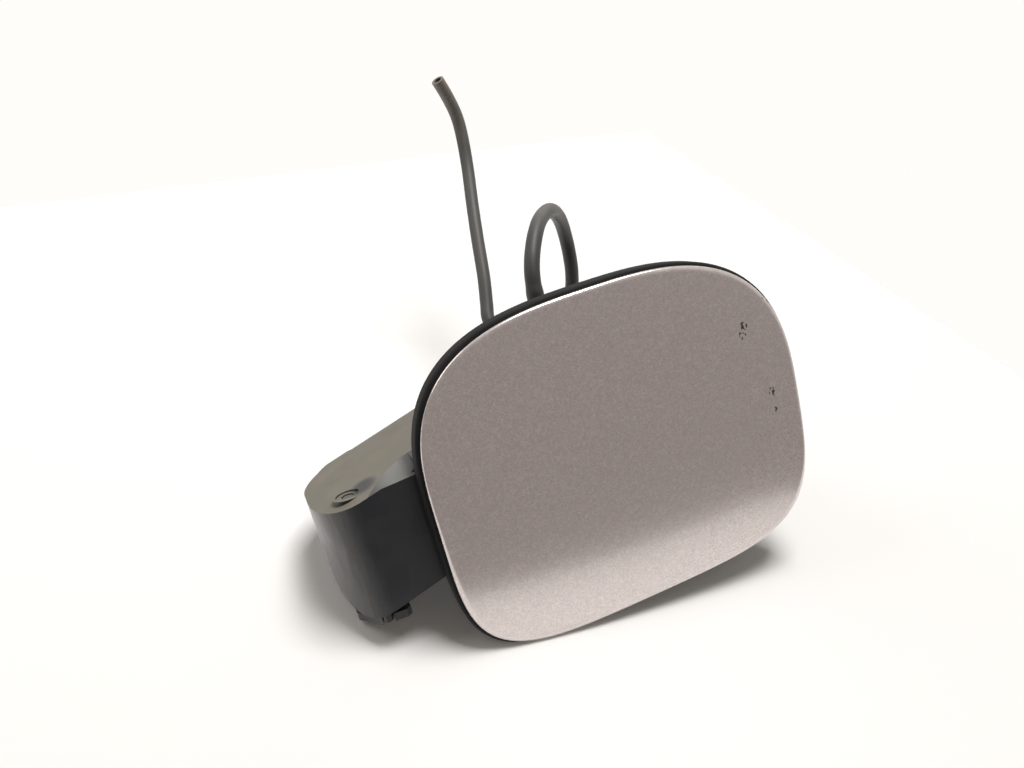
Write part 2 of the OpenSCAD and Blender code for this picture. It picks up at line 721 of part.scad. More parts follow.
// Two flanged bushes, one in each end of the barrel
module arm_bushes() {
  color([0.85, 0.84, 0.8]) for (end = [[barrel_top, 1], [barrel_bottom, -1]])
    at_pin(end[0]) rotate([end[1] > 0 ? 0 : 180, 0, 0])
      rotate_extrude() polygon([
        [pin_d / 2 + run_clear, -bush_len], [bush_r, -bush_len], [bush_r, seat_clear],
        [barrel_r - 1, seat_clear], [barrel_r - 1, bush_flange_t], [pin_d / 2 + run_clear, bush_flange_t]
      ]);
}

module arm_screws() {
  head_y = panel_y + foot_t + 2 * seat_clear;
  color([0.72, 0.72, 0.74]) for (p = screw_at)
    translate([leg_x + p[0], 0, arm_z + p[1]]) rotate([-90, 0, 0]) difference() {
      rotate_extrude() polygon([
        [0, panel_y - 3.2], [screw_r - 0.7, panel_y - 3.2], [screw_r, panel_y - 2.4], [screw_r, head_y],
        [3.8, head_y], [3.6, head_y + 1.5], [2.6, head_y + 2.3], [0, head_y + 2.3]
      ]);
      translate([0, 0, head_y + 1]) cylinder(h = 3, r = 1.7, $fn = 6);
    }
}

// Catch on the flap's free side, with the eye that the lock bolt enters
module latch_catch() {
  top = bolt_depth + catch_tip;
  w = catch_w / 2;
  base_y = panel_y + seat_clear;
  color([0.15, 0.15, 0.16]) difference() {
    union() {
      translate([catch_x - catch_base[0], base_y, -catch_base[2] / 2])
        cube([catch_base[0] + catch_t, catch_base[1], catch_base[2]]);
      translate([catch_x, 0, 0]) rotate([0, 90, 0]) linear_extrude(catch_t)
        polygon([[-w, base_y], [w, base_y], [w, bolt_depth], [w - catch_corner, top],
                 [catch_corner - w, top], [-w, bolt_depth]]);
      for (z = [0.5 - w, w - 0.5 - web_t]) translate([0, 0, z]) linear_extrude(web_t)
        polygon([[catch_x - catch_base[0] + 1, base_y + 1], [catch_x + 1, base_y + 1],
                 [catch_x + 1, bolt_depth - bolt_r - 1]]);
    }
    translate([0, bolt_depth, 0]) along_x(catch_x - 1, catch_x + catch_t + 1, bolt_r + 0.6);
    for (z = [-rivet_z, rivet_z])
      translate([catch_x - rivet_in, 0, z]) along_y(base_y - 1, base_y + 3, rivet_r + press_clear);
  }
}

module catch_rivets() {
  back = panel_y + catch_base[1] + 2 * seat_clear;
  front = panel_y - panel_t - seat_clear;
  color([0.75, 0.75, 0.76]) for (z = [-rivet_z, rivet_z])
    translate([catch_x - rivet_in, 0, z]) rotate([-90, 0, 0]) rotate_extrude() polygon([
      [0, front - 1], [rivet_r + 1, front - 1], [rivet_r + 1, front], [rivet_r, front],
      [rivet_r, back], [rivet_r + 1.4, back], [rivet_r + 0.9, back + 1], [0, back + 1.2]
    ]);
}

// Hook that holds the cap while the tank is filled
module cap_holder() {
  base_y = panel_y + seat_clear;
  hook_r = 7;
  hook_bore = 4;
  foot = 3;
  color([0.14, 0.14, 0.15]) difference() {
    union() {
      translate([holder_at[0] - holder_base[0] / 2, base_y, holder_at[1] - holder_base[2] / 2])
        cube(holder_base);
      translate([holder_at[0] - holder_w / 2, base_y, holder_at[1]])
        rotate([90, 0, 90]) linear_extrude(holder_w) {
          translate([0, -foot]) square([hook_r + 1, foot]);
          translate([hook_r + 1, hook_bore]) difference() {
            circle(hook_r);
            circle(hook_bore);
            translate([-hook_r - 1, -hook_r - 1]) square([hook_r + 1, 2 * hook_r + 2]);
          }
        }
    }
    for (x = [-holder_clip_x, holder_clip_x])
      translate([holder_at[0] + x, 0, holder_at[1]]) along_y(base_y - 1, base_y + 3, clip_r + press_clear);
  }
}

// Push clips that hold the cap holder
module cap_holder_clips() {
  back = panel_y + holder_base[1] + 2 * seat_clear;
  front = panel_y - panel_t - seat_clear;
  barb = clip_r + 0.7;
  color([0.08, 0.08, 0.08]) for (x = [-holder_clip_x, holder_clip_x])
    translate([holder_at[0] + x, 0, holder_at[1]]) rotate([-90, 0, 0]) rotate_extrude() polygon([
      [0, front - 3], [clip_r - 0.8, front - 3], [barb, front - 0.8], [barb, front], [clip_r, front],
      [clip_r, back], [2 * clip_r, back], [2 * clip_r - 0.4, back + 1.1], [0, back + 1.3]
    ]);
}

housing();
rim_seal();
neck_collar();
bolt_grommet();
rest_buffers();
hinge_pin();
pin_retainer();
hold_spring();
drain_hose();
flap_skin();
inner_panel();
panel_pads();
panel_nuts();
hinge_arm();
arm_bushes();
arm_screws();
latch_catch();
catch_rivets();
cap_holder();
cap_holder_clips();
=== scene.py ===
"""Fuel filler flap with its housing, hinge and drain hose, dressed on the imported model."""

import logging
import math
from dataclasses import dataclass, field, replace
from enum import Enum
from typing import Sequence, Union

import bmesh
import bpy
from mathutils import Matrix, Vector


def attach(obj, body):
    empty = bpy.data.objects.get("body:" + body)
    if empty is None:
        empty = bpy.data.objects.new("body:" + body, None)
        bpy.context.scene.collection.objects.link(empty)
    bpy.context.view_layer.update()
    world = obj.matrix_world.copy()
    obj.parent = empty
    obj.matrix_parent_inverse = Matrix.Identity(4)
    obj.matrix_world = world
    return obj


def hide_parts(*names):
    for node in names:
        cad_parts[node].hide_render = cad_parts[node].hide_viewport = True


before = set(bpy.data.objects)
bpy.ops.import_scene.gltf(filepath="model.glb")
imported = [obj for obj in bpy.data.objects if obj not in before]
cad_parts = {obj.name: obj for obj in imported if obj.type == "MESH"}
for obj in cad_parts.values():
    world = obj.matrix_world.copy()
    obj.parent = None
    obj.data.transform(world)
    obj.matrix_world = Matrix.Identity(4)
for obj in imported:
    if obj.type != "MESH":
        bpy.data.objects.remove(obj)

LOG = logging.getLogger("filler_flap")
MM = 0.001
SAME_POINT = 0.001 * MM

Node = bpy.types.Node
Socket = bpy.types.NodeSocket
Tree = bpy.types.NodeTree
Object = bpy.types.Object
Mesh = bpy.types.Mesh
Material = bpy.types.Material
Pair = tuple[float, float]
Point = tuple[float, float, float]
RGB = tuple[float, float, float]
Value = Union[Socket, float, Sequence[float]]
Shade = Union[Socket, RGB]


class Body(Enum):
    """The two bodies that the hinge joins."""

    HOUSING = "housing_body"
    FLAP = "flap"


class Slot(Enum):
    """Material slots of the record."""

    PAINT = "paint"
    HOUSING = "housing_plastic"
    DARK = "dark_plastic"
    BUSH = "bush_plastic"
    SEAL = "seal_rubber"
    HOSE = "hose_rubber"
    STEEL = "plated_steel"


@dataclass(frozen=True)
class Standing:
    """How the part stands on the table in the photograph, in the part's own frame."""

    up: Vector = Vector((0.165, -0.457, 0.874))
    side: Vector = Vector((0.906, -0.343, -0.249))
    table: float = -64.7 * MM

    def basis(self) -> Matrix:
        """The turn from table axes, with Z up, to the part's frame.

        Returns:
            The turn's matrix.
        """
        z = self.up.normalized()
        x = (self.side - z * z.dot(self.side)).normalized()
        return Matrix((x, z.cross(x), z)).transposed()

    def place(self, right: float, back: float, height: float) -> Vector:
        """A point by its distances from the table point under the origin.

        Args:
            right: metres to the right in the picture.
            back: metres away from the camera.
            height: metres above the table.

        Returns:
            The point in the part's frame.
        """
        return self.basis() @ Vector((right, back, height + self.table))


# Node trees


class Desk:
    """A node tree with short ways to add and join nodes."""

    def __init__(self, tree: Tree) -> None:
        """Args:
            tree: the tree that gets the nodes.
        """
        self.tree = tree

    def add(self, kind: str) -> Node:
        """Adds a node of that kind."""
        return self.tree.nodes.new(kind)

    def link(self, start: Socket, end: Socket) -> None:
        """Joins two sockets."""
        self.tree.links.new(start, end)

    def feed(self, value: Value, end: Socket) -> None:
        """Links a socket, or sets a number or a colour, on an input.

        Args:
            value: an output socket, a number or a colour.
            end: the input that gets it.
        """
        if isinstance(value, Socket):
            self.link(value, end)
        else:
            end.default_value = value

    def maths(self, way: str, *values: Value) -> Socket:
        """A Math node.

        Args:
            way: the operation.
            values: its inputs.

        Returns:
            The result's socket.
        """
        node = self.add("ShaderNodeMath")
        node.operation = way
        for value, end in zip(values, node.inputs):
            self.feed(value, end)
        return node.outputs[0]

    def along(self, vector: Socket, axis: Vector) -> Socket:
        """The part of a vector that lies along an axis.

        Args:
            vector: the vector's socket.
            axis: the axis, of length one.

        Returns:
            The result's socket.
        """
        node = self.add("ShaderNodeVectorMath")
        node.operation = "DOT_PRODUCT"
        node.inputs[1].default_value = axis
        self.link(vector, node.inputs[0])
        return node.outputs["Value"]

    def axes(self, vector: Socket) -> Node:
        """A node whose three outputs are the vector's parts.

        Args:
            vector: the vector's socket.

        Returns:
            The node.
        """
        node = self.add("ShaderNodeSeparateXYZ")
        self.link(vector, node.inputs[0])
        return node

    def scaled(self, vector: Socket, scale: Point) -> Socket:
        """A vector with each part times its own number.

        Args:
            vector: the vector's socket.
            scale: the three numbers.

        Returns:
            The result's socket.
        """
        node = self.add("ShaderNodeMapping")
        node.inputs["Scale"].default_value = scale
        self.link(vector, node.inputs["Vector"])
        return node.outputs[0]

    def noise(self, place: Socket, scale: Value, detail: float, rough: float = 0.5) -> Socket:
        """Soft noise.

        Args:
            place: where it is read.
            scale: how fine it is.
            detail: how many finer layers it has.
            rough: how much the finer layers weigh.

        Returns:
            The noise's socket.
        """
        node = self.add("ShaderNodeTexNoise")
        for name, value in (("Vector", place), ("Scale", scale), ("Detail", detail), ("Roughness", rough)):
            self.feed(value, node.inputs[name])
        return node.outputs["Fac"]

    def mix(self, factor: Value, a: Shade, b: Shade) -> Socket:
        """Mixes two colours.

        Args:
            factor: the share of the second colour.
            a: the first colour or its socket.
            b: the second colour or its socket.

        Returns:
            The result's socket.
        """
        node = self.add("ShaderNodeMix")
        node.data_type = "RGBA"
        self.feed(factor, node.inputs["Factor"])
        for value, end in ((a, node.inputs["A"]), (b, node.inputs["B"])):
            self.feed(value if isinstance(value, Socket) else (*value, 1), end)
        return node.outputs["Result"]

    def span(self, value: Socket, source: Pair, target: Pair = (0.0, 1.0)) -> Socket:
        """Maps one range of values to another, straight and with clamped ends.

        Args:
            value: the value's socket.
            source: the range that it comes from.
            target: the range that it goes to.

        Returns:
            The result's socket.
        """
        node = self.add("ShaderNodeMapRange")
        names = ("From Min", "From Max", "To Min", "To Max")
        for name, number in zip(names, (*source, *target)):
            node.inputs[name].default_value = number
        self.link(value, node.inputs["Value"])
        return node.outputs[0]

    def step(self, value: Socket, start: float, end: float) -> Socket:
        """A soft step that is zero at the start value and one at the end value.

        Args:
            value: the value's socket.
            start: where the step starts.
            end: where it ends, on either side of the start.

        Returns:
            The step's socket.
        """
        turned = start > end
        source, target = ((end, start), (1.0, 0.0)) if turned else ((start, end), (0.0, 1.0))
        result = self.span(value, source, target)
        result.node.interpolation_type = "SMOOTHSTEP"
        return result

    def spot(self, place: Node, parts: tuple[int, int], middle: Pair, half: Pair) -> Socket:
        """The squared distance from an ellipse's middle, which is one on the ellipse.

        Args:
            place: the coordinates' three parts.
            parts: the two of them that the ellipse lies in.
            middle: its middle.
            half: its half axes.

        Returns:
            The result's socket.
        """
        squares = []
        for part, centre, reach in zip(parts, middle, half):
            away = self.maths("SUBTRACT", place.outputs[part], centre)
            squares.append(self.maths("POWER", self.maths("MULTIPLY", away, 1 / reach), 2.0))
        return self.maths("ADD", *squares)

    def group(self, tree: Tree, **values: Value) -> Node:
        """Places a node group.

        Args:
            tree: the group.
            values: its inputs by name, with a low line for a space.

        Returns:
            The group's node.
        """
        node = self.add("ShaderNodeGroup")
        node.node_tree = tree
        for name, value in values.items():
            self.feed(value, node.inputs[name.replace("_", " ")])
        return node


class MaterialDesk(Desk):
    """The node tree of a new material."""

    def __init__(self, name: str) -> None:
        """Args:
            name: the material's name.
        """
        self.material = bpy.data.materials.new(name)
        self.material.use_nodes = True
        super().__init__(self.material.node_tree)
        self.tree.nodes.clear()
        self.out = self.add("ShaderNodeOutputMaterial")


# Camera and studio


@dataclass
class PhotoCamera:
    """Camera at the place from which the photograph was taken."""

    place: Vector = Vector((-0.1309, -0.3088, 0.1300))
    right: Vector = Vector((0.9057, -0.3432, -0.2487))
    up: Vector = Vector((0.3219, 0.1750, 0.9305))
    lens: float = 29.70
    sensor: float = 36.0
    near: float = 10.0 * MM

    def build(self) -> None:
        """Adds the camera and makes it the scene's."""
        bpy.ops.object.camera_add(location=self.place)
        camera = bpy.context.object
        camera.name = "photo_camera"
        camera.data.sensor_width = self.sensor
        camera.data.lens = self.lens
        camera.data.clip_start = self.near
        turn = Matrix((self.right, self.up, self.right.cross(self.up))).transposed()
        camera.matrix_world = Matrix.Translation(self.place) @ turn.to_4x4()
        bpy.context.scene.camera = camera


@dataclass(frozen=True)
class Lamp:
    """A soft rectangular lamp. Its points are right, back and height above the table, in metres."""

    name: str
    place: Point
    aim: Point
    size: Pair
    watts: float
    color: RGB = (1.0, 0.985, 0.95)

    def build(self, standing: Standing) -> None:
        """Adds the lamp.

        Args:
            standing: how the part stands on the table.
        """
        start, end = standing.place(*self.place), standing.place(*self.aim)
        bpy.ops.object.light_add(type="AREA", location=start)
        lamp = bpy.context.object
        lamp.name = self.name
        lamp.rotation_euler = (end - start).to_track_quat("-Z", "Y").to_euler()
        lamp.data.shape = "RECTANGLE"
        lamp.data.size, lamp.data.size_y = self.size
        lamp.data.energy = self.watts
        lamp.data.color = self.color


@dataclass
class Studio:
    """White table that ends at two walls, soft light from overhead and a dim warm room before it.

    The room's colours come in pairs: what lights the part, and what shows in its reflections.
    """

    standing: Standing
    corner: Pair = (0.091, 0.538)
    left_wall: Pair = (-0.885, -0.466)
    front: float = 0.30
    table_color: RGB = (0.874, 0.874, 0.882)
    glow_color: RGB = (1.0, 0.97, 0.93)
    seen_glow: float = 0.05
    mirrored_glow: float = 0.42
    room: RGB = (0.11, 0.090, 0.070)
    mirrored_room: RGB = (0.435, 0.394, 0.378)
    back_wall: RGB = (0.27, 0.255, 0.235)
    mirrored_wall: RGB = (0.92, 0.90, 0.87)
    seen_wall: RGB = (0.995, 0.985, 0.95)
    ahead: Point = (0.15, 0.95, 0.28)
    wall_step: Pair = (-0.28, 0.44)
    lamps: tuple[Lamp, ...] = (
        Lamp("overhead_light", (0.10, 0.36, 1.50), (0.0, 0.0, 0.0), (0.6, 0.6), 22.0),
        Lamp("left_light", (-0.9, 0.15, 0.7), (0.0, 0.0, 0.02), (0.5, 0.6), 2.2),
    )

    def build(self) -> None:
        """Adds the table, the lamps and the world."""
        self.add_table()
        for lamp in self.lamps:
            lamp.build(self.standing)
        self.light_room()

    def table_corners(self) -> list[Point]:
        """The room's corner and the two ends of the table's front, each as right, back and up.

        Returns:
            The three points, in metres.
        """
        far = Vector((*self.corner, 0.0))
        along = Vector((*self.left_wall, 0.0))
        right = Vector((-along.y, along.x, 0.0))
        depth = self.front + far.y
        return [tuple(far), *(tuple(far - wall * (depth / wall.y)) for wall in (along, right))]

    def add_table(self) -> None:
        """Adds the table top, which is seen from above only."""
        bpy.ops.mesh.primitive_circle_add(vertices=3, radius=1.0, fill_type="NGON")
        table = bpy.context.object
        table.name = "table_top"
        for vert, place in zip(table.data.vertices, self.table_corners()):
            vert.co = self.standing.place(*place)
        bpy.ops.object.mode_set(mode="EDIT")
        bpy.ops.mesh.select_all(action="SELECT")
        bpy.ops.mesh.normals_make_consistent(inside=False)
        bpy.ops.object.mode_set(mode="OBJECT")
        if table.data.polygons[0].normal.dot(self.standing.up) < 0:
            table.data.flip_normals()
        table.data.materials.append(self.table_finish())

    def table_finish(self) -> Material:
        """White that glows a little to the camera and in reflections, and is clear from below.

        Returns:
            The material.
        """
        desk = MaterialDesk("table_white")
        ray = desk.add("ShaderNodeLightPath").outputs
        seen = desk.maths("MULTIPLY", ray["Is Camera Ray"], self.seen_glow)
        seen = desk.maths("MULTIPLY_ADD", ray["Is Glossy Ray"], self.mirrored_glow, seen)
        white = desk.add("ShaderNodeBsdfDiffuse")
        white.inputs["Color"].default_value = (*self.table_color, 1)
        glow = desk.add("ShaderNodeEmission")
        glow.inputs["Color"].default_value = (*self.glow_color, 1)
        desk.link(seen, glow.inputs["Strength"])
        both = desk.add("ShaderNodeAddShader")
        pick = desk.add("ShaderNodeMixShader")
        desk.link(white.outputs[0], both.inputs[0])
        desk.link(glow.outputs[0], both.inputs[1])
        desk.link(desk.add("ShaderNodeNewGeometry").outputs["Backfacing"], pick.inputs[0])
        desk.link(both.outputs[0], pick.inputs[1])
        desk.link(desk.add("ShaderNodeBsdfTransparent").outputs[0], pick.inputs[2])
        desk.link(pick.outputs[0], desk.out.inputs["Surface"])
        return desk.material

    def light_room(self) -> None:
        """Makes the world white behind the table and dim on the camera's side."""
        world = bpy.data.worlds.new("pale_room")
        bpy.context.scene.world = world
        world.use_nodes = True
        desk = Desk(world.node_tree)
        direction = desk.add("ShaderNodeNewGeometry").outputs["Position"]
        share = desk.step(desk.along(direction, self.standing.basis() @ Vector(self.ahead)), *self.wall_step)
        ray = desk.add("ShaderNodeLightPath").outputs
        before = desk.mix(ray["Is Glossy Ray"], self.room, self.mirrored_room)
        behind = desk.mix(ray["Is Glossy Ray"], self.back_wall, self.mirrored_wall)
        seen = desk.mix(ray["Is Camera Ray"], desk.mix(share, before, behind), self.seen_wall)
        desk.link(seen, world.node_tree.nodes["Background"].inputs["Color"])
        bpy.context.scene.view_settings.view_transform = "Standard"


# Effects that finishes share


@dataclass(frozen=True)
class DustFall:
    """Dust on what faces up: between which slopes it starts to lie, and how evenly it covers."""

    slope: Pair = (0.52, 0.84)
    patches: Pair = (0.3, 0.7)
    cover: Pair = (0.72, 1.0)
    detail: float = 6.0
    rough: float = 0.62


@dataclass(frozen=True)
class RubMarks:
    """Rubs that are drawn out along Z, by their stretch and the noise that shows."""

    stretch: Point = (1.0, 1.0, 0.12)
    shown: Pair = (0.48, 0.75)
    detail: float = 4.0


class Effects:
    """Node groups that more than one finish uses, each built once."""

    grain_detail: float = 3.0
    patch_detail: float = 5.0

    def __init__(self, standing: Standing) -> None:
        """Args:
            standing: gives the direction from which dust falls.
        """
        self.grain = self.make_grain()
        self.dust = self.make_dust(DustFall(), standing.up.normalized())
        self.rubs = self.make_rubs(RubMarks())

    @staticmethod
    def start(name: str, inputs: dict[str, float], outputs: Sequence[str]) -> tuple[Desk, Node, Node]:
        """Starts a group.

        Args:
            name: the group's name.
            inputs: its inputs, each with its first value.
            outputs: its outputs.

        Returns:
            Its desk, its input node and its output node.
        """
        tree = bpy.data.node_groups.new(name, "ShaderNodeTree")
        for key, value in inputs.items():
            socket = tree.interface.new_socket(key, in_out="INPUT", socket_type="NodeSocketFloat")
            socket.default_value = value
        for key in outputs:
            tree.interface.new_socket(key, in_out="OUTPUT", socket_type="NodeSocketFloat")
        desk = Desk(tree)
        return desk, desk.add("NodeGroupInput"), desk.add("NodeGroupOutput")

    def make_grain(self) -> Tree:
        """Fine moulded or ground grain with slower patches over it.

        Returns:
            The group.
        """
        scales = {"Scale": 900.0, "Patch Scale": 30.0}
        desk, start, end = self.start("surface_grain", scales, ["Fine", "Patches"])
        place = desk.add("ShaderNodeTexCoord").outputs["Object"]
        for scale, out, detail in zip(scales, ("Fine", "Patches"), (self.grain_detail, self.patch_detail)):
            desk.link(desk.noise(place, start.outputs[scale], detail), end.inputs[out])
        return desk.tree

    def make_dust(self, fall: DustFall, up: Vector) -> Tree:
        """Dust that settles on what faces up on the table.

        Args:
            fall: how it lies.
            up: the direction from which it falls.

        Returns:
            The group.
        """
        desk, start, end = self.start("settled_dust", {"Amount": 1.0, "Scale": 40.0}, ["Mask"])
        coord = desk.add("ShaderNodeTexCoord").outputs
        slope = desk.step(desk.along(coord["Normal"], up), *fall.slope)
        noise = desk.noise(coord["Object"], start.outputs["Scale"], fall.detail, fall.rough)
        both = desk.maths("MULTIPLY", slope, desk.span(noise, fall.patches, fall.cover))
        desk.link(desk.maths("MULTIPLY", both, start.outputs["Amount"]), end.inputs["Mask"])
        return desk.tree

    def make_rubs(self, marks: RubMarks) -> Tree:
        """Long faint rubs and streaks.

        Args:
            marks: their stretch and strength.

        Returns:
            The group.
        """
        desk, start, end = self.start("rubbed_streaks", {"Scale": 60.0, "Amount": 1.0}, ["Mask"])
        place = desk.scaled(desk.add("ShaderNodeTexCoord").outputs["Object"], marks.stretch)
        shown = desk.span(desk.noise(place, start.outputs["Scale"], marks.detail), marks.shown)
        desk.link(desk.maths("MULTIPLY", shown, start.outputs["Amount"]), end.inputs["Mask"])
        return desk.tree


# Finishes


@dataclass(frozen=True)
class Surface:
    """Grain, roughness and relief of a finish.

    grain and patch are noise scales, rough is the least roughness and spread what a mask adds to it,
    relief is the bump's strength and depth its height.
    """

    grain: float
    patch: float
    rough: float
    spread: float
    relief: float
    depth: float


class FinishDesk(MaterialDesk):
    """The node tree of a finish, with its grain and the shared effects at hand."""

    def __init__(self, name: str, surface: Surface, effects: Effects) -> None:
        """Args:
            name: the material's name.
            surface: its grain, roughness and relief.
            effects: the shared node groups.
        """
        super().__init__(name)
        self.surface, self.effects = surface, effects
        grain = self.group(effects.grain, Scale=surface.grain, Patch_Scale=surface.patch)
        self.fine, self.patches = grain.outputs["Fine"], grain.outputs["Patches"]

    def dust(self, amount: float, scale: float) -> Socket:
        """The mask of settled dust."""
        return self.group(self.effects.dust, Amount=amount, Scale=scale).outputs["Mask"]

    def rubs(self, amount: float, scale: float) -> Socket:
        """The mask of rubs and streaks."""
        return self.group(self.effects.rubs, Amount=amount, Scale=scale).outputs["Mask"]

    def rough(self, mask: Socket) -> Socket:
        """The roughness, which a mask raises."""
        return self.maths("MULTIPLY_ADD", mask, self.surface.spread, self.surface.rough)

    def relief(self, height: Socket) -> Socket:
        """The normal that a height gives.

        Args:
            height: the height's socket.

        Returns:
            The normal's socket.
        """
        node = self.add("ShaderNodeBump")
        node.inputs["Strength"].default_value = self.surface.relief
        node.inputs["Distance"].default_value = self.surface.depth
        self.link(height, node.inputs["Height"])
        return node.outputs["Normal"]

    def shine(self, **values: Value) -> None:
        """Adds the material's own Principled shader and joins it to the output.

        Args:
            values: its inputs by name, with a low line for a space.
        """
        node = self.add("ShaderNodeBsdfPrincipled")
        for name, value in values.items():
            self.feed(value, node.inputs[name.replace("_", " ")])
        self.link(node.outputs[0], self.out.inputs["Surface"])


class Finish:
    """A finish of the part, which fills the node tree of one material."""

    name: str
    surface: Surface

    def fill(self, desk: FinishDesk) -> None:
        """Adds the nodes, which each kind of finish has its own of.

        Args:
            desk: the material in the making.
        """
        raise NotImplementedError

    def build(self, effects: Effects) -> Material:
        """Makes the material.

        Args:
            effects: the shared node groups.

        Returns:
            The material.
        """
        desk = FinishDesk(self.name, self.surface, effects)
        self.fill(desk)
        return desk.material


@dataclass(frozen=True)
class ChipPatch:
    """A small patch of paint chips, by its middle and half sizes in X and Z."""

    x: float
    z: float
    half_x: float
    half_z: float


@dataclass(frozen=True)
class SilverPaint(Finish):
    """Silver metallic paint with a clear coat, fine flakes and a few chips."""

    name: str = "silver_paint"
    surface: Surface = Surface(420.0, 14.0, 0.15, 0.04, 0.02, 0.04 * MM)
    base: RGB = (0.50, 0.455, 0.445)
    light: RGB = (0.66, 0.60, 0.58)
    flake_scale: float = 1900.0
    sparkle: float = 1.5
    metallic: float = 0.72
    coat: float = 0.5
    coat_rough: float = 0.09
    chip: RGB = (0.02, 0.02, 0.022)
    chip_metallic: float = 0.02
    chip_rough: float = 0.4
    chip_depth: float = 6.0
    chip_scale: float = 820.0
    chip_detail: float = 2.0
    chip_least: float = 0.585
    chip_middle: float = 0.08
    chips: tuple[ChipPatch, ...] = (
        ChipPatch(62.8 * MM, 33.0 * MM, 2.2 * MM, 2.2 * MM),
        ChipPatch(61.8 * MM, 29.5 * MM, 1.8 * MM, 2.2 * MM),
        ChipPatch(70.8 * MM, 0.6 * MM, 1.6 * MM, 2.4 * MM),
        ChipPatch(70.0 * MM, -8.0 * MM, 2.2 * MM, 1.8 * MM),
        ChipPatch(75.8 * MM, 43.0 * MM, 1.8 * MM, 2.2 * MM),
        ChipPatch(77.6 * MM, 39.8 * MM, 1.4 * MM, 2.2 * MM),
    )

    def fill(self, desk: FinishDesk) -> None:
        """Adds the paint's nodes.

        Args:
            desk: the material in the making.
        """
        place = desk.add("ShaderNodeTexCoord").outputs["Object"]
        flakes = desk.add("ShaderNodeTexVoronoi")
        flakes.inputs["Scale"].default_value = self.flake_scale
        desk.link(place, flakes.inputs["Vector"])
        tone = desk.add("ShaderNodeSeparateColor")
        desk.link(flakes.outputs["Color"], tone.inputs[0])
        sparkle = desk.maths("MULTIPLY", tone.outputs[0], desk.maths("MULTIPLY", desk.fine, self.sparkle))
        chipped = self.chip_mask(desk, place)
        bare = self.chip_metallic - self.metallic
        height = desk.maths("SUBTRACT", tone.outputs[1], desk.maths("MULTIPLY", chipped, self.chip_depth))
        desk.shine(
            Base_Color=desk.mix(chipped, desk.mix(sparkle, self.base, self.light), self.chip),
            Metallic=desk.maths("MULTIPLY_ADD", chipped, bare, self.metallic),
            Roughness=desk.maths("MULTIPLY_ADD", chipped, self.chip_rough, desk.rough(desk.patches)),
            Normal=desk.relief(height),
            Coat_Weight=desk.maths("MULTIPLY_ADD", chipped, -self.coat, self.coat),
            Coat_Roughness=self.coat_rough,
        )

    def chip_mask(self, desk: FinishDesk, place: Socket) -> Socket:
        """Specks inside each patch.

        Args:
            desk: the material in the making.
            place: the object coordinates' socket.

        Returns:
            The mask's socket, one in a chip.
        """
        axes = desk.axes(place)
        inside = 0.0
        for patch in self.chips:
            far = desk.spot(axes, (0, 2), (patch.x, patch.z), (patch.half_x, patch.half_z))
            inside = desk.maths("MAXIMUM", inside, desk.maths("SUBTRACT", 1.0, far))
        noise = desk.noise(place, self.chip_scale, self.chip_detail)
        grown = desk.maths("MULTIPLY_ADD", inside, self.chip_middle, noise)
        speck = desk.maths("GREATER_THAN", grown, self.chip_least)
        return desk.maths("MULTIPLY", speck, desk.maths("GREATER_THAN", inside, 0.0))


@dataclass(frozen=True)
class PlainFinish(Finish):
    """Moulded plastic or dulled steel with a fine grain, rubs and settled dust."""

    name: str
    base: RGB
    dusty: RGB = (0.21, 0.20, 0.165)
    surface: Surface = Surface(1400.0, 38.0, 0.31, 0.22, 0.25, 0.08 * MM)
    metallic: float = 0.0
    dust: float = 0.0
    dust_scale: float = 55.0
    dust_rough: float = 0.25
    rubs: float = 0.25
    rub_scale: float = 150.0
    rub_gain: float = 2.2
    rub_lift: float = 0.01

    def fill(self, desk: FinishDesk) -> None:
        """Adds the nodes of grain, rubs and dust.

        Args:
            desk: the material in the making.
        """
        dust = desk.dust(self.dust, self.dust_scale)
        lighter = tuple(min(1.0, part * self.rub_gain + self.rub_lift) for part in self.base)
        color = desk.mix(desk.rubs(self.rubs, self.rub_scale), self.base, lighter)
        desk.shine(
            Base_Color=desk.mix(dust, color, self.dusty),
            Metallic=self.metallic,
            Roughness=desk.maths("MULTIPLY_ADD", dust, self.dust_rough, desk.rough(desk.patches)),
            Normal=desk.relief(desk.fine),
        )


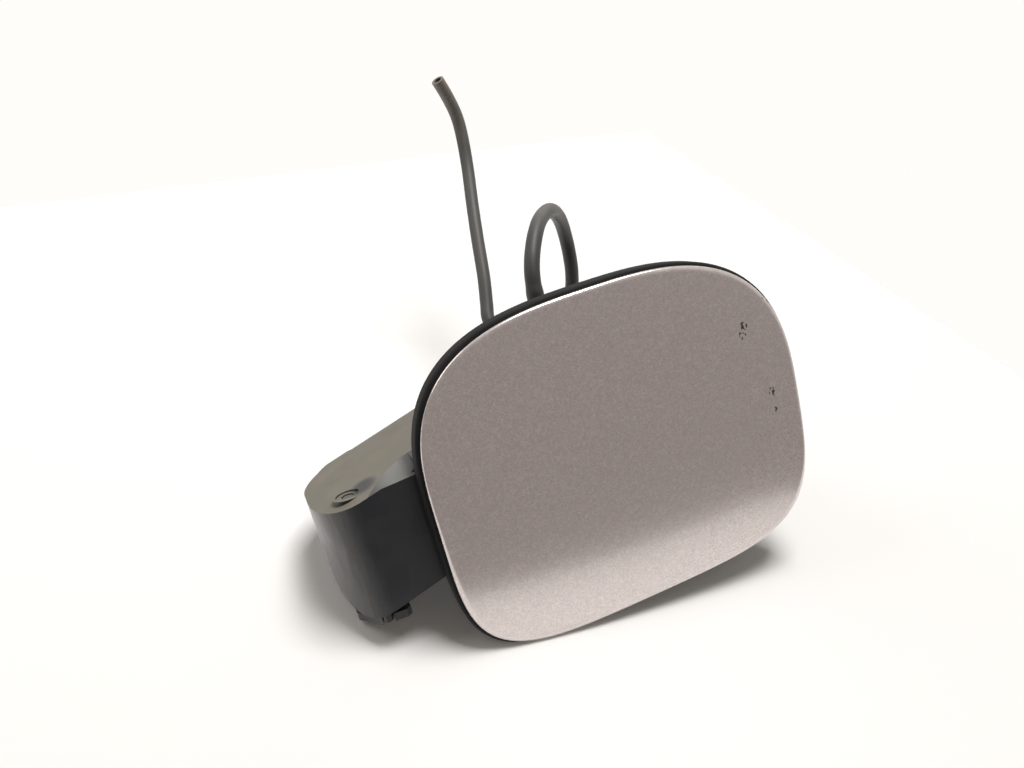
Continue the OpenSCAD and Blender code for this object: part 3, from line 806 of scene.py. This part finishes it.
@dataclass(frozen=True)
class HousingPlastic(Finish):
    """The housing's bluish black plastic: dusty on top, with streaks and painted highlight at the pocket's
    end, painted reflection on its slope, painted shade in a dip.
    """

    name: str = "housing_plastic"
    surface: Surface = Surface(1300.0, 62.0, 0.20, 0.30, 0.22, 0.07 * MM)
    specular: float = 0.42
    base: RGB = (0.0095, 0.0110, 0.0165)
    cloud_soft: float = 0.08
    cloud_hard: float = 0.04
    cloud_least: float = 0.46
    # A lighter tone used both for the random cloud and for the painted highlight on the pocket's end.
    cloud_and_highlight_tone: RGB = (0.105, 0.100, 0.090)
    rub_scale: float = 420.0
    streak_highlight_share: Pair = (0.45, 1.0)
    highlight_facing: Pair = (-0.45, -0.95)
    dusty: RGB = (0.180, 0.164, 0.132)
    dust: float = 0.95
    dust_scale: float = 48.0
    dust_rough: float = 0.32
    # Painted reflection on the slope: its light grey colour, its strength, and where along X it fades in and
    # out.
    painted_reflection: RGB = (0.185, 0.188, 0.184)
    painted_reflection_share: Pair = (0.22, 0.94)
    painted_reflection_from: Pair = (-104.5 * MM, -93.5 * MM)
    painted_reflection_to: Pair = (-84.5 * MM, -90.5 * MM)
    upper_wall: float = 12.5 * MM
    upward: float = 0.8
    slope_end: float = -84.0 * MM
    slope_depth: float = 18.4 * MM
    slope_bow: float = 38.0
    slope_edge: Pair = (-0.2 * MM, 0.3 * MM)
    # Painted shade of a dip beside the pin's boss: its middle, half sizes, edge and strength.
    dip_at: Pair = (-105.0 * MM, 14.0 * MM)
    dip_size: Pair = (6.2 * MM, 7.5 * MM)
    dip_edge: Pair = (1.3, 0.1)
    dip_shade_strength: float = 0.85

    def fill(self, desk: FinishDesk) -> None:
        """Adds the housing's nodes.

        Args:
            desk: the material in the making.
        """
        coord = desk.add("ShaderNodeTexCoord").outputs
        place, facing = desk.axes(coord["Object"]), desk.axes(coord["Normal"]).outputs
        dust = desk.dust(self.dust, self.dust_scale)
        spots = desk.maths("GREATER_THAN", desk.patches, self.cloud_least)
        cloud = desk.maths("MULTIPLY", spots, self.cloud_hard)
        cloud = desk.maths("MULTIPLY_ADD", desk.patches, self.cloud_soft, cloud)
        color = desk.mix(cloud, self.base, self.cloud_and_highlight_tone)
        # Streaks with a painted highlight: every face that points towards -X is lightened, at least by the
        # share's lower end, and the streaks lighten it further.
        streaks = desk.span(desk.rubs(1.0, self.rub_scale), (0.0, 1.0), self.streak_highlight_share)
        streaks_and_highlight = desk.maths("MULTIPLY", desk.step(facing[0], *self.highlight_facing), streaks)
        color = desk.mix(streaks_and_highlight, color, self.cloud_and_highlight_tone)
        color = desk.mix(dust, color, self.dusty)
        # Painted reflection: the slope's colour is first cleared of dust to the plain base, then a light grey
        # band stands in for the bright room mirrored there.
        slope = self.slope_mask(desk, place, facing[2])
        band = [desk.step(place.outputs[0], *ends) for ends in (self.painted_reflection_from, self.painted_reflection_to)]
        gleam = desk.span(desk.maths("MULTIPLY", *band), (0.0, 1.0), self.painted_reflection_share)
        color = desk.mix(slope, color, self.base)
        color = desk.mix(desk.maths("MULTIPLY", slope, gleam), color, self.painted_reflection)
        # Painted shade: in the dip the colour is drawn back to the dark base, standing in for the shade of a
        # face that turns from the light.
        dip_shade = desk.maths("MULTIPLY", self.dip_shade_mask(desk, place), self.dip_shade_strength)
        desk.shine(
            Base_Color=desk.mix(dip_shade, color, self.base),
            Roughness=desk.maths("MULTIPLY_ADD", dust, self.dust_rough, desk.rough(desk.patches)),
            Normal=desk.relief(desk.fine),
            Specular_IOR_Level=self.specular,
        )

    def slope_mask(self, desk: FinishDesk, place: Node, rise: Socket) -> Socket:
        """Where a reflection is painted: the slope at the front of the pocket's upper wall, with its curved
        back edge.

        Args:
            desk: the material in the making.
            place: the object coordinates' three parts.
            rise: the normal's third part.

        Returns:
            The mask's socket.
        """
        short = desk.maths("POWER", desk.maths("SUBTRACT", place.outputs[0], self.slope_end), 2.0)
        back = desk.maths("MULTIPLY_ADD", short, -self.slope_bow, self.slope_depth)
        inside = desk.step(desk.maths("SUBTRACT", back, place.outputs[1]), *self.slope_edge)
        flat = desk.maths("GREATER_THAN", rise, self.upward)
        upper = desk.maths("GREATER_THAN", place.outputs[2], self.upper_wall)
        return desk.maths("MULTIPLY", desk.maths("MULTIPLY", inside, flat), upper)

    def dip_shade_mask(self, desk: FinishDesk, place: Node) -> Socket:
        """Painted shade in a dip of the upper wall, between the pin's boss and the slope.

        Args:
            desk: the material in the making.
            place: the object coordinates' three parts.

        Returns:
            The mask's socket.
        """
        far = desk.spot(place, (0, 1), self.dip_at, self.dip_size)
        upper = desk.maths("GREATER_THAN", place.outputs[2], self.upper_wall)
        return desk.maths("MULTIPLY", desk.step(far, *self.dip_edge), upper)


@dataclass(frozen=True)
class MouldedRubber(Finish):
    """Dark rubber with a soft sheen, faint bloom and a little dust."""

    name: str
    base: RGB
    surface: Surface = Surface(1100.0, 70.0, 0.62, 0.2, 0.2, 0.06 * MM)
    specular: float = 0.22
    bloom: RGB = (0.045, 0.044, 0.042)
    bloom_least: float = 0.42
    bloom_gain: float = 0.8
    dust: float = 0.06
    dust_scale: float = 90.0

    def fill(self, desk: FinishDesk) -> None:
        """Adds the rubber's nodes.

        Args:
            desk: the material in the making.
        """
        cloud = desk.maths("SUBTRACT", desk.patches, self.bloom_least)
        cloud = desk.maths("MAXIMUM", desk.maths("MULTIPLY", cloud, self.bloom_gain), 0.0)
        color = desk.mix(cloud, self.base, self.bloom)
        desk.shine(
            Base_Color=desk.mix(desk.dust(self.dust, self.dust_scale), color, self.bloom),
            Roughness=desk.rough(desk.patches),
            Normal=desk.relief(desk.fine),
            Specular_IOR_Level=self.specular,
        )


@dataclass(frozen=True)
class HoseRubber(Finish):
    """Grey-black hose rubber with streaks along the hose, a dull bloom and an aged, brownish end.

    cover gives how much bloom lies on it at each share of its length.
    """

    name: str = "hose_rubber"
    surface: Surface = Surface(1300.0, 55.0, 0.42, 0.25, 0.25, 0.08 * MM)
    base: RGB = (0.022, 0.022, 0.023)
    bloom: RGB = (0.175, 0.172, 0.155)
    aged: RGB = (0.285, 0.228, 0.180)
    aged_from: float = 0.88
    aged_gain: float = 6.0
    length: float = 0.34
    streak_stretch: Point = (1.6, 1.6, 26.0)
    streak_scale: float = 2.4
    streak_detail: float = 7.0
    streak_rough: float = 0.65
    streak_shown: Pair = (0.34, 0.74)
    streak_cover: Pair = (0.55, 1.145)
    cover: tuple[Pair, ...] = (
        (0.0, 0.08), (0.10, 0.09), (0.15, 0.60), (0.20, 0.60), (0.26, 0.13), (0.55, 0.15), (0.66, 0.26),
        (0.88, 0.34), (1.0, 1.0),
    )

    def fill(self, desk: FinishDesk) -> None:
        """Adds the hose's nodes.

        Args:
            desk: the material in the making.
        """
        along = desk.add("ShaderNodeAttribute")
        along.attribute_name = "hose_way"
        way = along.outputs["Vector"]
        place = desk.scaled(way, self.streak_stretch)
        streaks = desk.noise(place, self.streak_scale, self.streak_detail, self.streak_rough)
        share = desk.maths("MULTIPLY", desk.axes(way).outputs[2], 1 / self.length)
        amount = desk.span(streaks, self.streak_shown, self.streak_cover)
        amount = desk.maths("MULTIPLY", self.bloom_cover(desk, share), amount)
        brown = desk.maths("MAXIMUM", desk.maths("SUBTRACT", share, self.aged_from), 0.0)
        brown = desk.maths("MULTIPLY", desk.maths("MULTIPLY", brown, self.aged_gain), desk.patches)
        desk.shine(
            Base_Color=desk.mix(brown, desk.mix(amount, self.base, self.bloom), self.aged),
            Roughness=desk.rough(streaks),
            Normal=desk.relief(desk.maths("ADD", desk.fine, streaks)),
        )

    def bloom_cover(self, desk: FinishDesk, share: Socket) -> Socket:
        """How much bloom lies on the hose at a share of its length.

        Args:
            desk: the material in the making.
            share: the share of the length.

        Returns:
            The result's socket.
        """
        ramp = desk.add("ShaderNodeValToRGB")
        stops = ramp.color_ramp.elements
        for place, _ in self.cover[1:-1]:
            stops.new(place)
        for stop, (place, value) in zip(stops, self.cover):
            stop.position, stop.color = place, (value, value, value, 1)
        desk.link(share, ramp.inputs[0])
        return ramp.outputs["Color"]


@dataclass(frozen=True)
class PlatedSteel(Finish):
    """Zinc-plated steel, a little dull and cloudy."""

    name: str = "plated_steel"
    surface: Surface = Surface(700.0, 160.0, 0.22, 0.25, 0.15, 0.04 * MM)
    base: RGB = (0.60, 0.60, 0.60)
    dull: RGB = (0.38, 0.37, 0.35)
    cloud: float = 0.8
    metallic: float = 0.95
    rubs: float = 0.6
    rub_scale: float = 500.0

    def fill(self, desk: FinishDesk) -> None:
        """Adds the steel's nodes.

        Args:
            desk: the material in the making.
        """
        cloud = desk.maths("MULTIPLY", desk.patches, self.cloud)
        desk.shine(
            Base_Color=desk.mix(cloud, self.base, self.dull),
            Metallic=self.metallic,
            Roughness=desk.rough(desk.patches),
            Normal=desk.relief(desk.maths("ADD", desk.fine, desk.rubs(self.rubs, self.rub_scale))),
        )


class FinishBook:
    """All finishes of the part, by record slot, and the dulled finish of the pin."""

    def __init__(self, effects: Effects) -> None:
        """Args:
            effects: the shared node groups.
        """
        dark = replace(PlainFinish.surface, rough=0.27)
        finishes: dict[Slot, Finish] = {
            Slot.PAINT: SilverPaint(),
            Slot.HOUSING: HousingPlastic(),
            Slot.DARK: PlainFinish("dark_plastic", (0.014, 0.014, 0.015), surface=dark, dust=0.2),
            Slot.BUSH: PlainFinish("bush_plastic", (0.62, 0.60, 0.54), (0.4, 0.38, 0.33), dust=0.1, rubs=0.1),
            Slot.SEAL: MouldedRubber("seal_rubber", (0.007, 0.007, 0.008)),
            Slot.HOSE: HoseRubber(),
            Slot.STEEL: PlatedSteel(),
        }
        self.by_slot = {slot: finish.build(effects) for slot, finish in finishes.items()}
        self.pin = PlainFinish(
            "dulled_pin", (0.060, 0.060, 0.058), (0.150, 0.145, 0.128),
            Surface(900.0, 300.0, 0.45, 0.2, 0.2, 0.06 * MM),
            metallic=0.3, dust=0.6, dust_scale=300.0, dust_rough=0.0, rubs=0.0,
        ).build(effects)

    def dress(self, obj: Object, slot: Slot) -> None:
        """Gives a mesh the finish of a slot.

        Args:
            obj: the mesh object.
            slot: the record's slot.
        """
        obj.data.materials.clear()
        obj.data.materials.append(self.by_slot[slot])


# Modelling tools


def pick_only(obj: Object) -> None:
    """Makes one object the only selected one and the active one.

    Args:
        obj: the object.
    """
    bpy.ops.object.select_all(action="DESELECT")
    obj.select_set(True)
    bpy.context.view_layer.objects.active = obj


def new_piece(name: str, mesh: Mesh) -> Object:
    """Puts a mesh in the scene as a selected object of its own.

    Args:
        name: the object's name.
        mesh: its mesh.

    Returns:
        The object.
    """
    obj = bpy.data.objects.new(name, mesh)
    bpy.context.scene.collection.objects.link(obj)
    pick_only(obj)
    return obj


def apply_modifier(obj: Object, kind: str, **settings: Union[float, bool, str]) -> None:
    """Adds a modifier and applies it.

    Args:
        obj: the active object.
        kind: the modifier's kind.
        settings: its settings by name.
    """
    modifier = obj.modifiers.new(kind.lower(), kind)
    for name, value in settings.items():
        setattr(modifier, name, value)
    bpy.ops.object.modifier_apply(modifier=modifier.name)


def round_edges(obj: Object, radius: float, sharp_deg: float, smooth_deg: float) -> None:
    """Rounds the sharp edges and shades the rest smooth.

    Args:
        obj: the active object.
        radius: the edges' radius.
        sharp_deg: edges sharper than this are rounded.
        smooth_deg: edges sharper than this stay sharp in the shading.
    """
    sharp = math.radians(sharp_deg)
    apply_modifier(obj, "BEVEL", width=radius, segments=2, limit_method="ANGLE", angle_limit=sharp)
    bpy.ops.object.shade_smooth_by_angle(angle=math.radians(smooth_deg))


def finish_piece(obj: Object, body: Body, slot: Slot, book: FinishBook, node: str) -> None:
    """Dresses a piece and lets it ride.

    Args:
        obj: the piece, with its place in its mesh.
        body: the body that it moves with.
        slot: the record slot of its finish.
        book: the finishes.
        node: the CAD node that it stands for.
    """
    book.dress(obj, slot)
    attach(obj, body.value)
    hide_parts(node)
    LOG.info("%s: %d faces", obj.name, len(obj.data.polygons))


@dataclass(frozen=True)
class Ring:
    """One ring of a pressed shape.

    inset is the distance inside the flap's outline, lift the depth behind the crowned face,
    share the part of the way from the middle, and flat_y a fixed depth in place of the crown.
    """

    inset: float
    lift: float = 0.0
    share: float = 1.0
    flat_y: float | None = None


@dataclass(frozen=True)
class FlapOutline:
    """Rounded outline and crown that the skin, the inner panel and the seal share.

    The four numbers after stand are the squareness of the corners: at the drain's side or the far side,
    and at the free end or the hinge's end.
    """

    half_w: float = 85.0 * MM
    half_h: float = 69.0 * MM
    crown_x: float = 2.0 * MM
    crown_z: float = 3.0 * MM
    stand: float = 12.0 * MM
    drain_free: float = 2.75
    drain_hinge: float = 2.95
    far_hinge: float = 4.4
    far_free: float = 4.15

    def square(self, turn: float) -> float:
        """Squareness of the corner that lies in a direction.

        Args:
            turn: the direction from the middle, in radians.

        Returns:
            The power of the outline's curve there.
        """
        if math.sin(turn) >= 0:
            return self.drain_free if math.cos(turn) >= 0 else self.drain_hinge
        return self.far_free if math.cos(turn) >= 0 else self.far_hinge

    def point(self, turn: float, ring: Ring) -> Vector:
        """A point of a ring.

        Args:
            turn: the direction from the middle, in radians.
            ring: the ring.

        Returns:
            The point in the part's frame.
        """
        n = self.square(turn)
        across = abs(math.cos(turn)) / (self.half_w - ring.inset)
        upright = abs(math.sin(turn)) / (self.half_h - ring.inset)
        reach = ring.share * (across**n + upright**n) ** (-1 / n)
        x, z = reach * math.cos(turn), reach * math.sin(turn)
        if ring.flat_y is not None:
            return Vector((x, ring.flat_y, z))
        crown = self.crown_x * (x / self.half_w) ** 2 + self.crown_z * (z / self.half_h) ** 2
        return Vector((x, crown + ring.lift - self.stand, z))


class RingLoft:
    """Builds a shape in edit mode by extruding one ring of edges after another."""

    start_share: float = 0.125

    def __init__(self, name: str, outline: FlapOutline, sides: int, pole: bool) -> None:
        """Args:
            name: the piece's name.
            outline: the outline that all rings follow.
            sides: points in each ring.
            pole: True to start from a closed middle, False from an open ring.
        """
        bpy.ops.object.select_all(action="DESELECT")
        fill = "TRIFAN" if pole else "NOTHING"
        upright = (math.pi / 2, 0, 0)
        start = outline.half_h * self.start_share
        bpy.ops.mesh.primitive_circle_add(vertices=sides, radius=start, fill_type=fill, rotation=upright)
        self.obj = bpy.context.object
        self.obj.name = name
        bpy.ops.object.transform_apply(location=True, rotation=True, scale=True)
        self.outline = outline
        self.middle_y = 0.0
        bpy.ops.object.mode_set(mode="EDIT")
        bpy.ops.mesh.select_mode(type="EDGE")
        self.pick_open_edges()

    def pick_open_edges(self) -> None:
        """Selects the edges that have a face on one side only, or none."""
        bpy.ops.mesh.select_all(action="DESELECT")
        mesh = bmesh.from_edit_mesh(self.obj.data)
        for edge in mesh.edges:
            edge.select = len(edge.link_faces) < 2
        mesh.select_flush(True)
        bmesh.update_edit_mesh(self.obj.data)

    def lay(self, ring: Ring) -> None:
        """Moves the selected ring's points, and the middle, to their places.

        Args:
            ring: where the ring goes.
        """
        mesh = bmesh.from_edit_mesh(self.obj.data)
        for vert in mesh.verts:
            if vert.select:
                vert.co = self.outline.point(math.atan2(vert.co.z, vert.co.x), ring)
            elif vert.co.xz.length < SAME_POINT:
                vert.co.y = self.middle_y
        bmesh.update_edit_mesh(self.obj.data)

    def loft(self, rings: Sequence[Ring]) -> None:
        """Lays the first ring and extrudes to each of the others.

        Args:
            rings: the rings in order.
        """
        self.middle_y = self.outline.point(0.0, Ring(0.0, rings[0].lift, 0.0, rings[0].flat_y)).y
        self.lay(rings[0])
        for ring in rings[1:]:
            bpy.ops.mesh.extrude_edges_move()
            self.lay(ring)

    def close_pole(self, y: float) -> None:
        """Draws the last ring together in one point at a depth.

        Args:
            y: the point's depth.
        """
        bpy.ops.mesh.extrude_edges_move()
        bpy.ops.mesh.merge(type="CENTER")
        mesh = bmesh.from_edit_mesh(self.obj.data)
        for vert in mesh.verts:
            if vert.select:
                vert.co = Vector((0, y, 0))
        bmesh.update_edit_mesh(self.obj.data)

    def done(self, smooth_deg: float = 50.0) -> Object:
        """Merges doubles, turns the faces outwards and leaves edit mode.

        Args:
            smooth_deg: edges sharper than this stay sharp.

        Returns:
            The object.
        """
        bpy.ops.mesh.select_all(action="SELECT")
        bpy.ops.mesh.remove_doubles(threshold=SAME_POINT)
        bpy.ops.mesh.normals_make_consistent(inside=False)
        bpy.ops.object.mode_set(mode="OBJECT")
        pick_only(self.obj)
        bpy.ops.object.shade_smooth_by_angle(angle=math.radians(smooth_deg))
        return self.obj


# Flap and seal


@dataclass
class FlapSkin:
    """Pressed and painted skin with a hem rolled round the inner panel.

    face and back are the rings' shares of the way from the middle, landing their last steps before the
    roll, lip the round of the hem's cut edge, and fold the inset and rise where the sheet turns inside.
    """

    outline: FlapOutline = field(default_factory=FlapOutline)
    sheet: float = 0.8 * MM
    edge: float = 2.5 * MM
    hem: float = 7.0 * MM
    hem_start: float = 1.5 * MM
    roll: float = 2.2 * MM
    roll_steps: int = 12
    landing: Pair = (1.2 * MM, 0.3 * MM)
    lip: Pair = (0.4 * MM, 0.25 * MM)
    fold: tuple[Pair, ...] = ((1.7 * MM, 0.1 * MM), (3.4 * MM, 0.0))
    face: tuple[float, ...] = (0.12, 0.24, 0.36, 0.48, 0.6, 0.7, 0.8, 0.87, 0.92)
    back: tuple[float, ...] = (0.9, 0.8, 0.65, 0.5, 0.35, 0.2)
    sides: int = 200

    def rings(self) -> list[Ring]:
        """Rings from the middle of the outer face, round the hem, to the middle of the inner face.

        Returns:
            The rings in order.
        """
        r = self.edge / 2
        rings = [Ring(0, 0, share) for share in self.face]
        rings += [Ring(self.roll + step) for step in self.landing]
        for k in range(self.roll_steps + 1):
            turn = math.pi * k / self.roll_steps
            reach = self.roll if k < self.roll_steps / 2 else r
            rings.append(Ring(reach - reach * math.sin(turn), r - r * math.cos(turn)))
        inside = self.edge - self.sheet
        rings += [Ring(r + self.hem_start, self.edge), Ring(self.hem - self.lip[0], self.edge)]
        rings += [Ring(self.hem, self.edge - self.lip[1]), Ring(self.hem, inside)]
        rings += [Ring(r, inside), Ring(self.sheet, r)]
        rings += [Ring(inset, self.sheet + rise) for inset, rise in self.fold]
        return rings + [Ring(0, self.sheet, share) for share in self.back]

    def build(self, book: FinishBook) -> None:
        """Models the skin.

        Args:
            book: the finishes.
        """
        loft = RingLoft("flap_skin_pressed", self.outline, self.sides, pole=True)
        loft.loft(self.rings())
        loft.close_pole(self.sheet - self.outline.stand)
        finish_piece(loft.done(), Body.FLAP, Slot.PAINT, book, "flap_skin")


@dataclass
class RimSeal:
    """Rubber seal with a rounded lip under the flap's edge.

    outer_lip and inner_lip give the lip's section, each point by its distances from the seal's side and
    from its front.
    """

    outline: FlapOutline = field(default_factory=FlapOutline)
    over: float = 1.5 * MM
    inner: float = 6.5 * MM
    front: float = 2.9 * MM
    seat: float = -0.1 * MM
    outer_lip: tuple[Pair, ...] = (
        (0.0, 1.0 * MM), (0.15 * MM, 0.5 * MM), (0.5 * MM, 0.12 * MM), (1.0 * MM, 0.0),
    )
    inner_lip: tuple[Pair, ...] = (
        (2.4 * MM, 0.0), (1.2 * MM, 0.15 * MM), (0.35 * MM, 0.6 * MM), (0.0, 1.4 * MM),
    )
    sides: int = 200

    def rings(self) -> list[Ring]:
        """Rings round the seal's section, from the outer back to the inner back.

        Returns:
            The rings in order.
        """
        rings = [Ring(-self.over, flat_y=self.seat)]
        rings += [Ring(side - self.over, self.front + depth) for side, depth in self.outer_lip]
        rings += [Ring(self.inner - side, self.front + depth) for side, depth in self.inner_lip]
        return rings + [Ring(self.inner, flat_y=self.seat)]

    def build(self, book: FinishBook) -> None:
        """Models the seal.

        Args:
            book: the finishes.
        """
        loft = RingLoft("rim_seal_lip", self.outline, self.sides, pole=False)
        loft.loft(self.rings())
        loft.pick_open_edges()
        bpy.ops.mesh.bridge_edge_loops()
        finish_piece(loft.done(), Body.HOUSING, Slot.SEAL, book, "rim_seal")


# Hose


@dataclass
class DrainHose:
    """Rubber drain hose on its spout, with a loop behind the flap and a free cut end."""

    diameter: float = 7.0 * MM
    bore: float = 4.4 * MM
    swell: float = 0.35 * MM
    swell_length: float = 13.0 * MM
    swell_fade: float = 3.0 * MM
    cut_radius: float = 0.15 * MM
    sharp_deg: float = 60.0
    smooth_deg: float = 40.0
    sides: int = 24
    steps: int = 9
    route: tuple[Point, ...] = (
        (-10, 28, 57.1), (-10, 28, 63), (-9.5, 28.5, 69), (-8, 30, 75.5), (-4.5, 33.5, 82.5), (1.5, 40, 89.5),
        (8.5, 48, 94), (16.5, 57, 95.5), (24, 68, 93), (30.5, 79, 87), (34.5, 87, 78), (36, 91, 68),
        (35.5, 92.5, 58), (33, 93.5, 48.5), (27, 94, 40.5), (18, 94.5, 35), (8, 95.5, 33), (-2, 97.5, 34),
        (-9, 102, 39.5), (-10, 106.5, 46.5), (-7.5, 111, 53.5), (-3, 118.5, 66), (3, 131.5, 84.5),
        (9.5, 145, 103), (15.5, 156, 121), (18.5, 160.7, 137.5), (18.5, 160.7, 149.5), (15.5, 158, 160),
        (11, 154, 169.9),
    )

    def line(self) -> list[Vector]:
        """Points of the smooth curve through the route, in metres.

        Returns:
            The points in order.
        """
        way = [Vector(p) * MM for p in self.route]
        last = len(way) - 1
        points = []
        for i in range(last):
            a, b, c, d = way[max(i - 1, 0)], way[i], way[i + 1], way[min(i + 2, last)]
            for k in range(self.steps):
                t = k / self.steps
                square, cube = 2 * a - 5 * b + 4 * c - d, 3 * b - a - 3 * c + d
                points.append(0.5 * (2 * b + (c - a) * t + square * t**2 + cube * t**3))
        return points + [way[last]]

    def tube(self, line: list[Vector]) -> Mesh:
        """The hose's outer surface, which keeps the way along the hose for its streaks.

        Args:
            line: the middle line's points.

        Returns:
            The mesh.
        """
        n = self.sides
        verts, ways = [], []
        side, gone = Vector((1, 0, 0)), 0.0
        for i, middle in enumerate(line):
            tangent = (line[min(i + 1, len(line) - 1)] - line[max(i - 1, 0)]).normalized()
            side = (side - tangent * side.dot(tangent)).normalized()
            other = tangent.cross(side)
            gone += (middle - line[i - 1]).length if i else 0.0
            fade = min(max((self.swell_length - gone) / self.swell_fade, 0.0), 1.0)
            r = self.diameter / 2 + self.swell * fade
            for k in range(n):
                a = math.tau * k / n
                verts.append(middle + r * (math.cos(a) * side + math.sin(a) * other))
                ways += [math.cos(a), math.sin(a), gone]
        faces = [
            (i * n + k, i * n + j, (i + 1) * n + j, (i + 1) * n + k)
            for i in range(len(line) - 1)
            for k, j in zip(range(n), (*range(1, n), 0))
        ]
        mesh = bpy.data.meshes.new("drain_hose_tube")
        mesh.from_pydata(verts, [], faces)
        mesh.attributes.new("hose_way", "FLOAT_VECTOR", "POINT").data.foreach_set("vector", ways)
        return mesh

    def build(self, book: FinishBook) -> None:
        """Models the hose as a tube with an open bore at its cut end.

        Args:
            book: the finishes.
        """
        line = self.line()
        obj = new_piece("drain_hose_tube", self.tube(line))
        wall = (self.diameter - self.bore) / 2
        apply_modifier(obj, "SOLIDIFY", thickness=wall, offset=-1.0, use_even_offset=True)
        round_edges(obj, self.cut_radius, self.sharp_deg, self.smooth_deg)
        finish_piece(obj, Body.HOUSING, Slot.HOSE, book, "drain_hose")


# Moulded pieces and carried nodes


@dataclass
class MouldedCopy:
    """A moulded piece made from a CAD node, with the small edge radii that its mould gives it."""

    node: str
    name: str
    body: Body
    slot: Slot
    radius: float = 0.45 * MM
    weld: float = 0.002 * MM
    flat_deg: float = 0.8
    sharp_deg: float = 38.0
    smooth_deg: float = 32.0

    def build(self, book: FinishBook) -> None:
        """Copies the node, joins its faces and rounds its edges.

        Args:
            book: the finishes.
        """
        obj = new_piece(self.name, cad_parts[self.node].data.copy())
        bpy.ops.object.mode_set(mode="EDIT")
        bpy.ops.mesh.select_all(action="SELECT")
        bpy.ops.mesh.remove_doubles(threshold=self.weld)
        bpy.ops.mesh.dissolve_limited(angle_limit=math.radians(self.flat_deg))
        bpy.ops.object.mode_set(mode="OBJECT")
        round_edges(obj, self.radius, self.sharp_deg, self.smooth_deg)
        apply_modifier(obj, "WEIGHTED_NORMAL", keep_sharp=True)
        finish_piece(obj, self.body, self.slot, book, self.node)


@dataclass
class CarriedNodes:
    """CAD nodes whose shape is right as it is, and that only need their finish."""

    slots: tuple[tuple[str, Slot], ...] = (
        ("neck_collar", Slot.SEAL),
        ("bolt_grommet", Slot.SEAL),
        ("rest_buffers", Slot.SEAL),
        ("hinge_pin", Slot.STEEL),
        ("hold_spring", Slot.STEEL),
        ("inner_panel", Slot.PAINT),
        ("panel_pads", Slot.SEAL),
        ("panel_nuts", Slot.STEEL),
        ("arm_bushes", Slot.BUSH),
        ("arm_screws", Slot.STEEL),
        ("catch_rivets", Slot.STEEL),
        ("cap_holder_clips", Slot.DARK),
    )

    def build(self, book: FinishBook) -> None:
        """Dresses the nodes, and the pin in its own dulled steel.

        Args:
            book: the finishes.
        """
        for node, slot in self.slots:
            book.dress(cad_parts[node], slot)
            LOG.info("%s: dressed as %s", node, slot.value)
        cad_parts["hinge_pin"].data.materials[0] = book.pin


def main() -> None:
    """Builds the scene piece by piece."""
    logging.basicConfig(level=logging.INFO, format="%(name)s %(message)s")
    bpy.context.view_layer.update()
    bpy.ops.object.select_all(action="DESELECT")
    standing = Standing()
    PhotoCamera().build()
    book = FinishBook(Effects(standing))
    DrainHose().build(book)
    Studio(standing).build()
    FlapSkin().build(book)
    RimSeal().build(book)
    for piece in (
        MouldedCopy("housing", "housing_moulding", Body.HOUSING, Slot.HOUSING),
        MouldedCopy("pin_retainer", "pin_foot", Body.HOUSING, Slot.DARK, radius=0.3 * MM),
        MouldedCopy("hinge_arm", "swan_neck", Body.FLAP, Slot.DARK, radius=0.3 * MM),
        MouldedCopy("latch_catch", "lock_catch", Body.FLAP, Slot.DARK, radius=0.25 * MM),
        MouldedCopy("cap_holder", "cap_hook", Body.FLAP, Slot.DARK, radius=0.25 * MM),
    ):
        piece.build(book)
    CarriedNodes().build(book)


if __name__ == "__main__":
    main()
